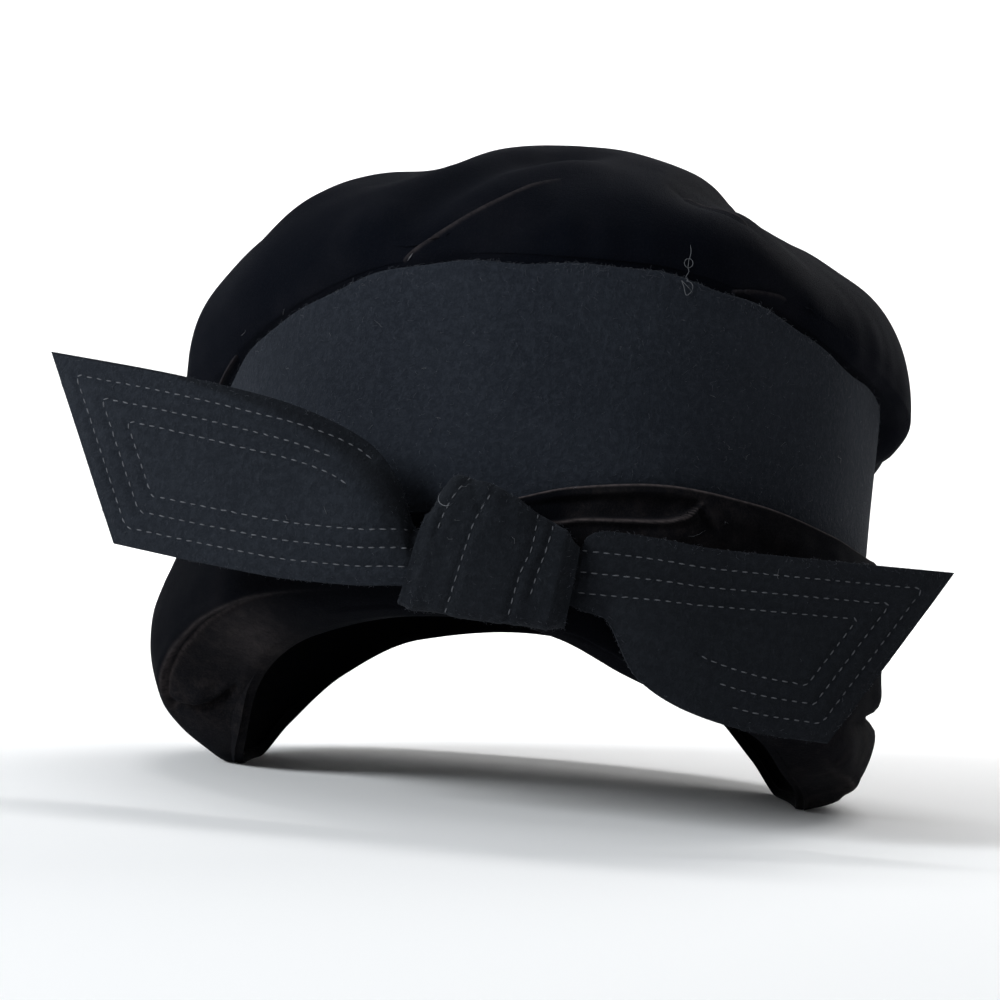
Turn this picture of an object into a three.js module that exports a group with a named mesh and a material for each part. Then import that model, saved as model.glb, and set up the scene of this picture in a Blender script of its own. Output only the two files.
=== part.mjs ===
// A velvet hat: a puffed velvet crown, a tall upturned felt cuff, a draped velvet band
// and a stitched felt bow at the front.
// Millimetres, +Z up, front towards -Y, the photographed right side towards +X.
// The hat rests on the soft sides of its band, and its rim is arched at the front and the back.
// Its origin is the middle of its outline on the surface it rests on.

import * as THREE from "three";
import { mergeVertices } from "three/addons/utils/BufferGeometryUtils.js";

// Driving dimensions
const GAP = 0.3; // clearance between neighbouring pieces
const VELVET = 2.4; // thickness of the velvet with its backing
const FELT = 2.6; // thickness of the felt cuff
const STRIP = 2.8; // thickness of the doubled and stitched bow strips

const CUFF = { halfWidth: 87.7, halfDepth: 102 }; // outside of the felt
const OPENING = { halfWidth: 79.5, halfDepth: 96.2 }; // inside of the band, as worn
const SOLE = { halfWidth: 75.5, halfDepth: 96.2 }; // inner edge of the band's underside

const LEAN = 0.08; // how far the hat leans back for each millimetre of height
const LEAN_LEVEL = 50; // height at which the lean is nothing
const FLARE = 0.025; // how much wider the hat gets, each side, for each millimetre of height
const FLARE_LEVEL = 95; // height at which the cuff has its stated width

const CROWN_TOP = 170.5;
const CROWN_POWER = 1.8; // roundness of the crown: 2 is an ellipse, less is more pointed
const TUCK = 9; // how far the velvet goes down inside the cuff
const TUCK_CLEARANCE = 0.6; // between the tucked velvet and the felt

const FLAP = 8; // how far the band's inner flap covers the cuff's lower edge
const SOLE_TURN = 7; // height over which the band's underside turns up to the opening
const CUFF_BASE = { level: 28, rise: 0.55 }; // lower edge of the felt, which follows the rim's arch
const CUFF_ROWS = 5;

// The bow's distance in front of the middle, and the curve of its tails beyond a flat middle
const BOW = { front: -110.3, middle: -12, flat: 22, curve: 0.0038 };
const TAIL_STEPS = { across: 3, between: 3 }; // divisions across a tail, and between its cross lines

const TURN_STEPS = 72; // divisions of the rings round the hat

// Height of the felt's free edge, by the angle from the front towards +X
const FELT_EDGE = [
  { deg: -180, top: 84 },
  { deg: -120, top: 84 },
  { deg: -97, top: 86 },
  { deg: -83, top: 91 },
  { deg: -70, top: 99 },
  { deg: -60, top: 107.5 },
  { deg: -45, top: 118.3 },
  { deg: -29, top: 126.9 },
  { deg: -10, top: 131.3 },
  { deg: 12, top: 131.6 },
  { deg: 27, top: 128.3 },
  { deg: 43, top: 120.8 },
  { deg: 58, top: 113.5 },
  { deg: 72, top: 108.5 },
  { deg: 84, top: 102 },
  { deg: 97, top: 89 },
  { deg: 112, top: 84 },
];

// The velvet crown: how far it reaches beyond the felt, and at what height
const CROWN = [
  { deg: -180, reach: 8, level: 106 },
  { deg: -130, reach: 10.5, level: 106 },
  { deg: -100, reach: 10.5, level: 106 },
  { deg: -84, reach: 9, level: 107 },
  { deg: -70, reach: 4, level: 114 },
  { deg: -50, reach: -0.5, level: 126 },
  { deg: -25, reach: -2.5, level: 136 },
  { deg: 0, reach: -2.5, level: 138 },
  { deg: 25, reach: -2.5, level: 137 },
  { deg: 50, reach: -1.5, level: 126 },
  { deg: 70, reach: 2, level: 117 },
  { deg: 84, reach: 7.5, level: 109 },
  { deg: 100, reach: 10.5, level: 106 },
  { deg: 130, reach: 10.5, level: 106 },
];

// The crown's curl below its widest part: shares of its reach and of the height above the felt's edge
const CROWN_CURL = [
  { reach: 1, rise: 0.66, lift: 0 },
  { reach: 0.78, rise: 0.33, lift: 0 },
  { reach: 0.4, rise: 0.1, lift: 1.2 },
  { reach: 0, rise: 0, lift: 1 },
  { reach: 0, rise: 0, lift: -TUCK },
];

// Folds on top of the crown, as lines in plan: negative depth is a valley, positive a ridge
const CROWN_FOLDS = [
  { name: "front pleat", x1: -40, y1: -86, x2: 4, y2: -40, depth: -3, width: 7 },
  { name: "right valley", x1: 30, y1: -70, x2: 60, y2: 24, depth: -4, width: 7 },
  { name: "right slope", x1: 66, y1: -60, x2: 72, y2: 60, depth: -4.5, width: 18 },
  { name: "right notch", x1: 50, y1: -56, x2: 58, y2: 50, depth: -4, width: 9 },
  { name: "left ridge", x1: -66, y1: -40, x2: -58, y2: 40, depth: 2, width: 10 },
  { name: "left hollow", x1: -36, y1: -50, x2: -30, y2: 50, depth: -3, width: 12 },
  { name: "back pleat left", x1: -52, y1: 84, x2: -14, y2: 30, depth: -4, width: 9 },
  { name: "back pleat right", x1: 44, y1: 88, x2: 12, y2: 34, depth: -4, width: 9 },
];

// The band: rim height, upper edge and its stand off the felt, bulge, lower fold and underside,
// as distances outwards from the felt and the heights where they are reached
const BAND = [
  { deg: -180, rim: 36, top: 74, stand: 0, bulge: 6, bulgeAt: 58, fold: 5, foldAt: 43, sole: 1 },
  { deg: -155, rim: 32, top: 72, stand: 0, bulge: 7, bulgeAt: 55, fold: 6, foldAt: 39, sole: 1 },
  { deg: -135, rim: 21, top: 70, stand: 0, bulge: 9, bulgeAt: 49, fold: 7, foldAt: 30, sole: -1 },
  { deg: -118, rim: 8, top: 68, stand: 0, bulge: 11, bulgeAt: 42, fold: 8, foldAt: 20, sole: -4 },
  { deg: -104, rim: 0, top: 67, stand: 0, bulge: 12.5, bulgeAt: 39, fold: 8.5, foldAt: 15, sole: -6 },
  { deg: -86, rim: 0, top: 66, stand: 0, bulge: 13.5, bulgeAt: 38, fold: 9, foldAt: 16, sole: -7 },
  { deg: -78, rim: 3.5, top: 66, stand: 0, bulge: 13.5, bulgeAt: 39, fold: 9, foldAt: 18, sole: -6 },
  { deg: -70, rim: 21, top: 67, stand: 0, bulge: 12, bulgeAt: 42, fold: 10, foldAt: 30, sole: -3 },
  { deg: -59, rim: 31, top: 68, stand: 0, bulge: 10.5, bulgeAt: 48, fold: 9, foldAt: 39, sole: -1 },
  { deg: -46, rim: 38.5, top: 69, stand: 0, bulge: 8.5, bulgeAt: 56, fold: 8, foldAt: 46.4, sole: 0 },
  { deg: -22, rim: 46, top: 70, stand: 0, bulge: 5.5, bulgeAt: 60, fold: 4.5, foldAt: 51, sole: 1 },
  { deg: -8, rim: 47, top: 74, stand: 0, bulge: 5, bulgeAt: 62, fold: 4, foldAt: 52, sole: 1 },
  { deg: 4, rim: 43.5, top: 79, stand: 0.5, bulge: 5, bulgeAt: 62, fold: 4, foldAt: 48, sole: 1 },
  { deg: 17, rim: 36, top: 81, stand: 1.8, bulge: 5.5, bulgeAt: 60, fold: 4.5, foldAt: 41, sole: 1 },
  { deg: 33, rim: 28.5, top: 78.2, stand: 2.6, bulge: 6, bulgeAt: 56, fold: 5, foldAt: 35, sole: 0 },
  { deg: 50, rim: 21.5, top: 72.5, stand: 2, bulge: 6.5, bulgeAt: 48, fold: 5, foldAt: 28, sole: -1 },
  { deg: 63, rim: 11.5, top: 68.5, stand: 0.5, bulge: 6.5, bulgeAt: 43, fold: 5, foldAt: 19, sole: -2 },
  { deg: 73, rim: 5.5, top: 66.5, stand: 0, bulge: 6.5, bulgeAt: 38, fold: 5.5, foldAt: 13, sole: -3 },
  { deg: 86, rim: 0, top: 65.5, stand: 0, bulge: 6.8, bulgeAt: 36, fold: 5.5, foldAt: 10, sole: -3 },
  { deg: 104, rim: 0, top: 65, stand: 0, bulge: 7, bulgeAt: 36, fold: 5.5, foldAt: 11, sole: -3 },
  { deg: 118, rim: 8, top: 67, stand: 0, bulge: 7.5, bulgeAt: 42, fold: 6, foldAt: 19, sole: -2 },
  { deg: 135, rim: 21, top: 69, stand: 0, bulge: 7.5, bulgeAt: 49, fold: 6, foldAt: 30, sole: -1 },
  { deg: 155, rim: 32, top: 72, stand: 0, bulge: 7, bulgeAt: 55, fold: 5, foldAt: 39, sole: 1 },
];

// The bow's tails, from inside the knot outwards: ends of each cross line, seen from the front
const LEFT_TAIL = [
  { topX: -13, topZ: 67, lowX: -13, lowZ: 53 },
  { topX: -28.6, topZ: 66.2, lowX: -28.6, lowZ: 53.6 },
  { topX: -34, topZ: 76.7, lowX: -33, lowZ: 53.8 },
  { topX: -41, topZ: 85.2, lowX: -44, lowZ: 53.1 },
  { topX: -59.5, topZ: 92.7, lowX: -58, lowZ: 53.3 },
  { topX: -88, topZ: 97.9, lowX: -78, lowZ: 55.2 },
  { topX: -120.5, topZ: 101.7, lowX: -100.8, lowZ: 57.9 },
];
const RIGHT_TAIL = [
  { topX: -12, topZ: 63.5, lowX: -12, lowZ: 53 },
  { topX: 8.6, topZ: 62, lowX: 7.6, lowZ: 52 },
  { topX: 12.8, topZ: 68, lowX: 11, lowZ: 51.8 },
  { topX: 17, topZ: 69.6, lowX: 17, lowZ: 48.5 },
  { topX: 27, topZ: 68.7, lowX: 23.5, lowZ: 37 },
  { topX: 40, topZ: 67.3, lowX: 36, lowZ: 30 },
  { topX: 66, topZ: 66.6, lowX: 53, lowZ: 26 },
  { topX: 98.8, topZ: 65.9, lowX: 70, lowZ: 24.4 },
];

// The knot, across from its left edge to its right: upper and lower edge, and how far it stands out
const KNOT = [
  { topX: -28, topZ: 72, lowX: -32.3, lowZ: 48, front: 6.6 },
  { topX: -20, topZ: 80, lowX: -25, lowZ: 48.1, front: 7.6 },
  { topX: -9, topZ: 76.2, lowX: -13, lowZ: 47.5, front: 8.2 },
  { topX: 1, topZ: 71, lowX: -3, lowZ: 46.6, front: 7.6 },
  { topX: 8.2, topZ: 67.4, lowX: 5.8, lowZ: 45.6, front: 6.6 },
];
const KNOT_BACK = -105.75; // how far back the knot's strip passes behind the tails
const KNOT_SIDES = 20;
const KNOT_CORNER = 0.5; // squareness of the knot's section: 1 is an ellipse, 0 a rectangle

// A table's column at an angle: smooth, level at its highest and lowest rows, and the same after a turn
function atDegree(table, column, deg) {
  const count = table.length;
  const turn = (((deg - table[0].deg) % 360) + 360) % 360;
  let row = count - 1;
  while (table[row].deg - table[0].deg > turn) {
    row -= 1;
  }
  const node = (index) => {
    const wrapped = ((index % count) + count) % count;
    const laps = Math.floor(index / count);
    return { deg: table[wrapped].deg - table[0].deg + 360 * laps, value: table[wrapped][column] };
  };
  const slopeBetween = (a, b) => (b.value - a.value) / (b.deg - a.deg);
  const slopeAt = (index) => {
    const before = slopeBetween(node(index - 1), node(index));
    const after = slopeBetween(node(index), node(index + 1));
    return before * after > 0 ? (2 * before * after) / (before + after) : 0;
  };
  const start = node(row);
  const end = node(row + 1);
  const span = end.deg - start.deg;
  const t = (turn - start.deg) / span;
  const rise = t * t * (3 - 2 * t);
  const leaving = t * (1 - t) * (1 - t) * span * slopeAt(row);
  const arriving = t * t * (t - 1) * span * slopeAt(row + 1);
  return start.value * (1 - rise) + end.value * rise + leaving + arriving;
}

// A point of the ring that stands `spread` outside an oval, at an angle and a height
function onRing(oval, spread, deg, height) {
  const angle = THREE.MathUtils.degToRad(deg);
  const flare = FLARE * (height - FLARE_LEVEL);
  const x = (oval.halfWidth + spread + flare) * Math.sin(angle);
  const y = -(oval.halfDepth + spread + flare) * Math.cos(angle);
  return new THREE.Vector3(x, y + LEAN * (height - LEAN_LEVEL), height);
}

// Rows of points round the hat, one row for each of the functions that give a point at an angle
function ringRows(pointAt, rowCount) {
  const rows = [];
  for (let row = 0; row < rowCount; row += 1) {
    const ring = [];
    for (let step = 0; step < TURN_STEPS; step += 1) {
      ring.push(pointAt(row, -180 + (360 * step) / TURN_STEPS));
    }
    rows.push(ring);
  }
  return rows;
}

// A closed skin over rows of closed rings; rings of one repeated point are poles
function skin(rows, joined) {
  const positions = [];
  const addTriangle = (a, b, c) => {
    const flat = a.distanceTo(b) < 1e-6 || b.distanceTo(c) < 1e-6 || c.distanceTo(a) < 1e-6;
    if (!flat) {
      positions.push(...a.toArray(), ...b.toArray(), ...c.toArray());
    }
  };
  const bands = joined ? rows.length : rows.length - 1;
  for (let row = 0; row < bands; row += 1) {
    const upper = rows[row];
    const lower = rows[(row + 1) % rows.length];
    for (let step = 0; step < upper.length; step += 1) {
      const next = (step + 1) % upper.length;
      addTriangle(upper[step], lower[step], lower[next]);
      addTriangle(upper[step], lower[next], upper[next]);
    }
  }
  const soup = new THREE.BufferGeometry();
  soup.setAttribute("position", new THREE.Float32BufferAttribute(positions, 3));
  return faceOut(mergeVertices(soup, 1e-4));
}

// Turns a closed geometry the right way round, by the sign of the volume it holds
function faceOut(geometry) {
  const index = geometry.getIndex();
  const position = geometry.getAttribute("position");
  const corner = (i) => new THREE.Vector3().fromBufferAttribute(position, index.getX(i));
  let volume = 0;
  for (let i = 0; i < index.count; i += 3) {
    volume += corner(i).dot(corner(i + 1).cross(corner(i + 2)));
  }
  if (volume < 0) {
    for (let i = 0; i < index.count; i += 3) {
      const second = index.getX(i + 1);
      index.setX(i + 1, index.getX(i + 2));
      index.setX(i + 2, second);
    }
  }
  geometry.computeVertexNormals();
  return geometry;
}

// The rows moved inwards by a wall's thickness, square to the surface
function inset(rows, thickness) {
  return rows.map((ring, row) =>
    ring.map((point, step) => {
      const above = rows[Math.max(row - 1, 0)][step];
      const below = rows[Math.min(row + 1, rows.length - 1)][step];
      const left = ring[(step + ring.length - 1) % ring.length];
      const right = ring[(step + 1) % ring.length];
      const down = below.clone().sub(above);
      const along = right.clone().sub(left);
      const outward = along.lengthSq() < 1e-9 ? new THREE.Vector3(0, 0, 1) : down.cross(along).normalize();
      return point.clone().addScaledVector(outward, -thickness);
    }),
  );
}

function cuffBase(deg) {
  return CUFF_BASE.level + CUFF_BASE.rise * atDegree(BAND, "rim", deg);
}

// The felt cuff: an upright oval wall with a free upper edge
function makeFeltCuff() {
  const outside = ringRows((row, deg) => {
    const share = row / (CUFF_ROWS - 1);
    const height = THREE.MathUtils.lerp(atDegree(FELT_EDGE, "top", deg), cuffBase(deg), share);
    return onRing(CUFF, 0, deg, height);
  }, CUFF_ROWS);
  const inside = inset(outside, FELT).reverse();
  return skin([...outside, ...inside], true);
}

// The velvet crown: a dome, its curl under the widest part, and the edge tucked inside the cuff
const DOME_RINGS = [0, 0.25, 0.47, 0.66, 0.81, 0.92, 0.98, 1]; // shares of the way out from the top
const FOLD_FADE = 0.15; // share of a fold's length over which its ends fade

function foldLift(x, y) {
  let lift = 0;
  for (const fold of CROWN_FOLDS) {
    const along = new THREE.Vector2(fold.x2 - fold.x1, fold.y2 - fold.y1);
    const from = new THREE.Vector2(x - fold.x1, y - fold.y1);
    const share = from.dot(along) / along.lengthSq();
    const away = Math.abs(from.cross(along)) / along.length();
    const begun = THREE.MathUtils.smoothstep(share, -FOLD_FADE, FOLD_FADE);
    const ended = THREE.MathUtils.smoothstep(share, 1 - FOLD_FADE, 1 + FOLD_FADE);
    lift += fold.depth * begun * (1 - ended) * Math.exp(-((away / fold.width) ** 2));
  }
  return lift;
}

function crownPoint(row, deg) {
  const reach = atDegree(CROWN, "reach", deg);
  const level = atDegree(CROWN, "level", deg);
  const edge = atDegree(FELT_EDGE, "top", deg);
  const inner = -FELT - TUCK_CLEARANCE;
  if (row < DOME_RINGS.length) {
    const share = DOME_RINGS[row];
    const rise = (CROWN_TOP - level) * (1 - share ** CROWN_POWER) ** (1 / CROWN_POWER);
    const rim = onRing(CUFF, reach, deg, level);
    const centreY = LEAN * (CROWN_TOP - LEAN_LEVEL);
    const x = rim.x * share;
    const y = centreY + (rim.y - centreY) * share;
    return new THREE.Vector3(x, y, level + rise + foldLift(x, y));
  }
  const curl = CROWN_CURL[row - DOME_RINGS.length];
  const spread = THREE.MathUtils.lerp(inner, reach, curl.reach);
  return onRing(CUFF, spread, deg, THREE.MathUtils.lerp(edge, level, curl.rise) + curl.lift);
}

function makeVelvetCrown() {
  const outside = ringRows(crownPoint, DOME_RINGS.length + CROWN_CURL.length);
  const inside = inset(outside, VELVET).reverse();
  return skin([...outside, ...inside], false);
}

// The velvet band: one path from its upper edge, out over the bulge, under the rim and up inside
const BAND_PATH_STEPS = 7;

function bandPoint(row, deg) {
  const column = (name) => atDegree(BAND, name, deg);
  const rim = column("rim");
  const stations = [
    new THREE.Vector2(GAP + VELVET + column("stand"), column("top")),
    new THREE.Vector2(column("bulge"), column("bulgeAt")),
    new THREE.Vector2(column("fold"), column("foldAt")),
    new THREE.Vector2(column("sole"), rim),
  ];
  if (row <= BAND_PATH_STEPS) {
    const place = new THREE.SplineCurve(stations).getPoint(row / BAND_PATH_STEPS);
    return onRing(CUFF, place.x, deg, Math.max(place.y, rim));
  }
  const inside = [
    { oval: SOLE, height: rim },
    { oval: OPENING, height: rim + SOLE_TURN },
    { oval: OPENING, height: cuffBase(deg) + FLAP },
  ][row - BAND_PATH_STEPS - 1];
  return onRing(inside.oval, 0, deg, inside.height);
}

function makeVelvetBand() {
  const outside = ringRows(bandPoint, BAND_PATH_STEPS + 4);
  const inside = inset(outside, VELVET).reverse();
  return skin([...outside, ...inside], true);
}

// A bow tail: a flat strip standing on edge, curved round the front of the hat
function bowFront(x) {
  const beyondKnot = Math.max(0, Math.abs(x - BOW.middle) - BOW.flat);
  return BOW.front + BOW.curve * beyondKnot * beyondKnot;
}

function tailRing(line) {
  const front = [];
  const back = [];
  for (let step = 0; step <= TAIL_STEPS.across; step += 1) {
    const share = step / TAIL_STEPS.across;
    const x = THREE.MathUtils.lerp(line.topX, line.lowX, share);
    const z = THREE.MathUtils.lerp(line.topZ, line.lowZ, share);
    front.push(new THREE.Vector3(x, bowFront(x) - STRIP / 2, z));
    back.push(new THREE.Vector3(x, bowFront(x) + STRIP / 2, z));
  }
  return [...front, ...back.reverse()];
}

function pole(ring) {
  const middle = new THREE.Vector3();
  ring.forEach((point) => middle.addScaledVector(point, 1 / ring.length));
  return ring.map(() => middle.clone());
}

function makeTail(table) {
  const topEdge = new THREE.CatmullRomCurve3(table.map((row) => new THREE.Vector3(row.topX, 0, row.topZ)));
  const lowEdge = new THREE.CatmullRomCurve3(table.map((row) => new THREE.Vector3(row.lowX, 0, row.lowZ)));
  const rings = [];
  const lines = (table.length - 1) * TAIL_STEPS.between;
  for (let line = 0; line <= lines; line += 1) {
    const top = topEdge.getPoint(line / lines);
    const low = lowEdge.getPoint(line / lines);
    rings.push(tailRing({ topX: top.x, topZ: top.z, lowX: low.x, lowZ: low.z }));
  }
  return skin([pole(rings[0]), ...rings, pole(rings[lines])], false);
}

// The knot: a strip wrapped round the tails, open at both ends for them
function knotRing(station, thickness) {
  const ring = [];
  const halfHeight = (station.topZ - station.lowZ) / 2 - thickness;
  const back = KNOT_BACK - thickness;
  const front = BOW.front - station.front + thickness;
  for (let side = 0; side < KNOT_SIDES; side += 1) {
    const angle = (2 * Math.PI * side) / KNOT_SIDES;
    const up = Math.sign(Math.sin(angle)) * Math.abs(Math.sin(angle)) ** KNOT_CORNER;
    const out = Math.sign(Math.cos(angle)) * Math.abs(Math.cos(angle)) ** KNOT_CORNER;
    const share = 0.5 - up / 2;
    const x = THREE.MathUtils.lerp(station.topX, station.lowX, share);
    const z = (station.topZ + station.lowZ) / 2 + up * halfHeight;
    ring.push(new THREE.Vector3(x, (front + back) / 2 - (out * (back - front)) / 2, z));
  }
  return ring;
}

function makeKnot() {
  const outside = KNOT.map((station) => knotRing(station, 0));
  const inside = KNOT.map((station) => knotRing(station, VELVET)).reverse();
  return skin([...outside, ...inside], true);
}

// Materials, with the colours of the photograph in soft light
function cloth(color, roughness) {
  return new THREE.MeshStandardMaterial({ color, roughness, metalness: 0 });
}

const velvetBlack = cloth(0x17181d, 0.95);
const feltNavy = cloth(0x262a33, 0.98);
const velvetBrown = cloth(0x211c1c, 0.9);

function piece(name, geometry, material) {
  const mesh = new THREE.Mesh(geometry, material);
  mesh.name = name;
  return mesh;
}

const hat = new THREE.Group();
hat.add(piece("velvet_crown", makeVelvetCrown(), velvetBlack));
hat.add(piece("felt_cuff", makeFeltCuff(), feltNavy));
hat.add(piece("velvet_band", makeVelvetBand(), velvetBrown));
hat.add(piece("bow_left_tail", makeTail(LEFT_TAIL), feltNavy.clone()));
hat.add(piece("bow_right_tail", makeTail(RIGHT_TAIL), feltNavy.clone()));
hat.add(piece("bow_knot", makeKnot(), feltNavy.clone()));

// The origin goes to the middle of the outline, on the surface that the hat rests on
const outline = new THREE.Box3().setFromObject(hat);
const middle = outline.getCenter(new THREE.Vector3());
hat.position.set(-middle.x, -middle.y, -outline.min.z);

export default hat;
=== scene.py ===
# %% [markdown]
# # A velvet hat with a stitched felt bow
# The hat has a puffed velvet crown, a tall cuff of wool felt with a free cut edge, a draped
# velvet band that turns under at the rim, and a flat felt bow with rows of topstitching.
# Everything on it is cloth, so each piece here is a sheet that is shaped by a few named
# tables, given its real thickness, and then finished with folds, stitches and fibres.

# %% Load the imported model
import math

import bmesh
import bpy
import numpy as np
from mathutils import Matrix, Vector, bvhtree


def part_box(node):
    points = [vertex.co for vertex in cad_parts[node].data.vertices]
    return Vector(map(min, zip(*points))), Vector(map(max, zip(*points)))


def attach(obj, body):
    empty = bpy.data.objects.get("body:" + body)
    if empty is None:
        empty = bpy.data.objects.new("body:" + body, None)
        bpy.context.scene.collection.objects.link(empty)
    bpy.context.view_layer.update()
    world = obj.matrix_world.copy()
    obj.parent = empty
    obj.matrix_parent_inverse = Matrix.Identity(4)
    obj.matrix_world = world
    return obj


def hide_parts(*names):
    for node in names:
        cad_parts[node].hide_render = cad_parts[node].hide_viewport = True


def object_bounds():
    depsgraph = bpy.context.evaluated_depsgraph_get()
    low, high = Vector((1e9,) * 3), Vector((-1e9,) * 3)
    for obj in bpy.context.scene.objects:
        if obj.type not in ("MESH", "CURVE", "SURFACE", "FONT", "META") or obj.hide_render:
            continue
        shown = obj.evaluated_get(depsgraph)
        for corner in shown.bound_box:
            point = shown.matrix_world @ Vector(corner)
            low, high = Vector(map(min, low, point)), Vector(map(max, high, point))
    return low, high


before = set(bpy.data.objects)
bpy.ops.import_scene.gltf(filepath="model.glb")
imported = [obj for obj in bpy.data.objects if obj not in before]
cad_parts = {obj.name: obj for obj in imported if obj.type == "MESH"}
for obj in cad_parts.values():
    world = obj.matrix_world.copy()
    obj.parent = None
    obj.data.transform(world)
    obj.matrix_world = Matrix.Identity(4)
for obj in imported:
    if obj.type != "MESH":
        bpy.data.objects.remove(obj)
cad_low, cad_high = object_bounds()
print("packed nodes:", sorted(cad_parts))
print("packed size in mm:", [round(1000 * side, 1) for side in cad_high - cad_low])

# %% [markdown]
# ## Two coordinate systems
# The shapes below are written in millimetres from the hat's own middle, because the tables
# are easier to read that way. The frame is in metres and its origin is the middle of the
# whole outline, bow included, so one small function carries points from one to the other.

# %% Millimetres of the hat to metres of the frame
HAT_MIDDLE = np.array([10.948, 1.872, 0.0])


def to_frame(points):
    return (np.asarray(points, float) + HAT_MIDDLE) / 1000


cuff_low, cuff_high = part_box("felt_cuff")
print("cuff's middle across, in mm:", round(500 * (cuff_low.x + cuff_high.x), 3), "and", HAT_MIDDLE[0])

# %% [markdown]
# ## Camera, light and floor
# The hat is seen from straight in front, a little below its middle, and the picture is
# turned by a few degrees. A long lens from 80 cm away keeps the bow's tails in proportion.
# The studio is a pale floor that curves up behind the hat, lit by one large soft light from
# the left, because the felt is nearly twice as bright on that side, and by a pale sky.

# %% Camera
CAMERA_BACK = 800
CAMERA_LEVEL = 75
PICTURE_TURN = math.radians(4.5)
LENS, SENSOR = 108, 36

camera_data = bpy.data.cameras.new("camera")
camera_data.lens = LENS
camera_data.sensor_width = SENSOR
camera_data.clip_start = 0.05
camera_data.clip_end = 20
camera = bpy.data.objects.new("camera", camera_data)
bpy.context.scene.collection.objects.link(camera)
camera.location = to_frame([-HAT_MIDDLE[0], -CAMERA_BACK, CAMERA_LEVEL])
camera.rotation_euler = (math.radians(90), -PICTURE_TURN, 0)
bpy.context.scene.camera = camera
print("camera at", [round(v, 3) for v in camera.location])

# %% Lights and sky
def soft_light(name, place, target, size, power, colour):
    data = bpy.data.lights.new(name, "AREA")
    data.shape = "DISK"
    data.size = size
    data.energy = power
    data.color = colour
    light = bpy.data.objects.new(name, data)
    bpy.context.scene.collection.objects.link(light)
    light.location = place
    aim = light.location - target
    light.rotation_euler = aim.to_track_quat("Z", "Y").to_euler()
    return light


hat_centre = (cad_low + cad_high) / 2
paper_behind = hat_centre.copy()
paper_behind.y, paper_behind.z = 3.2, 0.4
soft_light("window_left", (-1.5, -1.12, 0.85), hat_centre, 0.8, 42, (0.93, 0.97, 1.0))
soft_light("window_behind", (0.9, 1.6, 1.1), hat_centre, 1.0, 15, (1.0, 0.99, 0.97))
soft_light("paper_light", (0.0, 1.2, 2.2), paper_behind, 1.6, 95, (1.0, 1.0, 1.0))
world = bpy.data.worlds.new("pale_sky")
bpy.context.scene.world = world
world.use_nodes = True
world.node_tree.nodes["Background"].inputs["Color"].default_value = (0.96, 0.975, 1.0, 1)
world.node_tree.nodes["Background"].inputs["Strength"].default_value = 0.3
bpy.context.scene.view_settings.view_transform = "Standard"

# %% [markdown]
# ## Shader maths as sums
# A material's pattern is a chain of nodes. Written one by one they hide the idea, so a small
# class wraps a socket, and sums and products on it add the Math nodes.

# %% A socket that can be reckoned with
class Wool:
    """One output of a node tree, with arithmetic."""

    def __init__(self, tree, socket):
        self.tree = tree
        self.socket = socket

    def _math(self, operation, first, second=0.0):
        return node(self.tree, "ShaderNodeMath", {"operation": operation}, {0: first, 1: second})

    def __add__(self, other):
        return self._math("ADD", self, other)

    def __rsub__(self, other):
        return self._math("SUBTRACT", other, self)

    def __mul__(self, other):
        return self._math("MULTIPLY", self, other)

    __radd__ = __add__
    __rmul__ = __mul__


def node(tree, kind, settings, values, output=0):
    """Adds a node: its settings first, then the values or links of its sockets."""
    made = tree.nodes.new(kind)
    for name, value in settings.items():
        setattr(made, name, value)
    for name, value in values.items():
        if isinstance(value, Wool):
            tree.links.new(value.socket, made.inputs[name])
        else:
            made.inputs[name].default_value = value
    return Wool(tree, made.outputs[output])


def object_point(tree):
    return node(tree, "ShaderNodeTexCoord", {}, {}, "Object")


def noise(tree, point, size_mm, detail=2.0, rough=0.5):
    """A cloud pattern whose blobs are about size_mm across."""
    values = {"Vector": point, "Scale": 1000 / size_mm, "Detail": detail, "Roughness": rough}
    return node(tree, "ShaderNodeTexNoise", {}, values, "Fac")


def stretched(tree, point, turn, stretch):
    """The point turned and squeezed, so that a pattern on it runs in long streaks."""
    values = {"Vector": point, "Rotation": turn, "Scale": stretch}
    return node(tree, "ShaderNodeMapping", {"vector_type": "TEXTURE"}, values)


def step_up(tree, value, low, high):
    """0 below low, 1 above high, smooth between."""
    values = {"Value": value, "From Min": low, "From Max": high}
    return node(tree, "ShaderNodeMapRange", {"interpolation_type": "SMOOTHSTEP"}, values)


def blend_colour(tree, share, first, second):
    """The first colour where the share is 0, the second where it is 1."""
    settings = {"data_type": "RGBA", "clamp_factor": True}
    return node(tree, "ShaderNodeMix", settings, {0: share, 6: first, 7: second}, 2)


def painted(tree, name):
    """An attribute of the piece, a number from 0 to 1 at each point."""
    return node(tree, "ShaderNodeAttribute", {"attribute_name": name}, {}, "Fac")


def cloth_material(name, sheen, sheen_rough, sheen_tint, specular):
    material = bpy.data.materials.new(name)
    material.use_nodes = True
    shader = material.node_tree.nodes["Principled BSDF"]
    shader.inputs["Sheen Weight"].default_value = sheen
    shader.inputs["Sheen Roughness"].default_value = sheen_rough
    shader.inputs["Sheen Tint"].default_value = sheen_tint
    shader.inputs["Specular IOR Level"].default_value = specular
    return material, material.node_tree, shader


def connect(tree, value, socket):
    tree.links.new(value.socket, socket)


def bump(tree, height, distance_mm, normal=None):
    values = {"Height": height, "Strength": 1.0, "Distance": distance_mm / 1000}
    if normal is not None:
        values["Normal"] = normal
    return node(tree, "ShaderNodeBump", {}, values)


print("shader helpers:", [helper.__name__ for helper in (noise, stretched, step_up, blend_colour, bump)])

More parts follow.
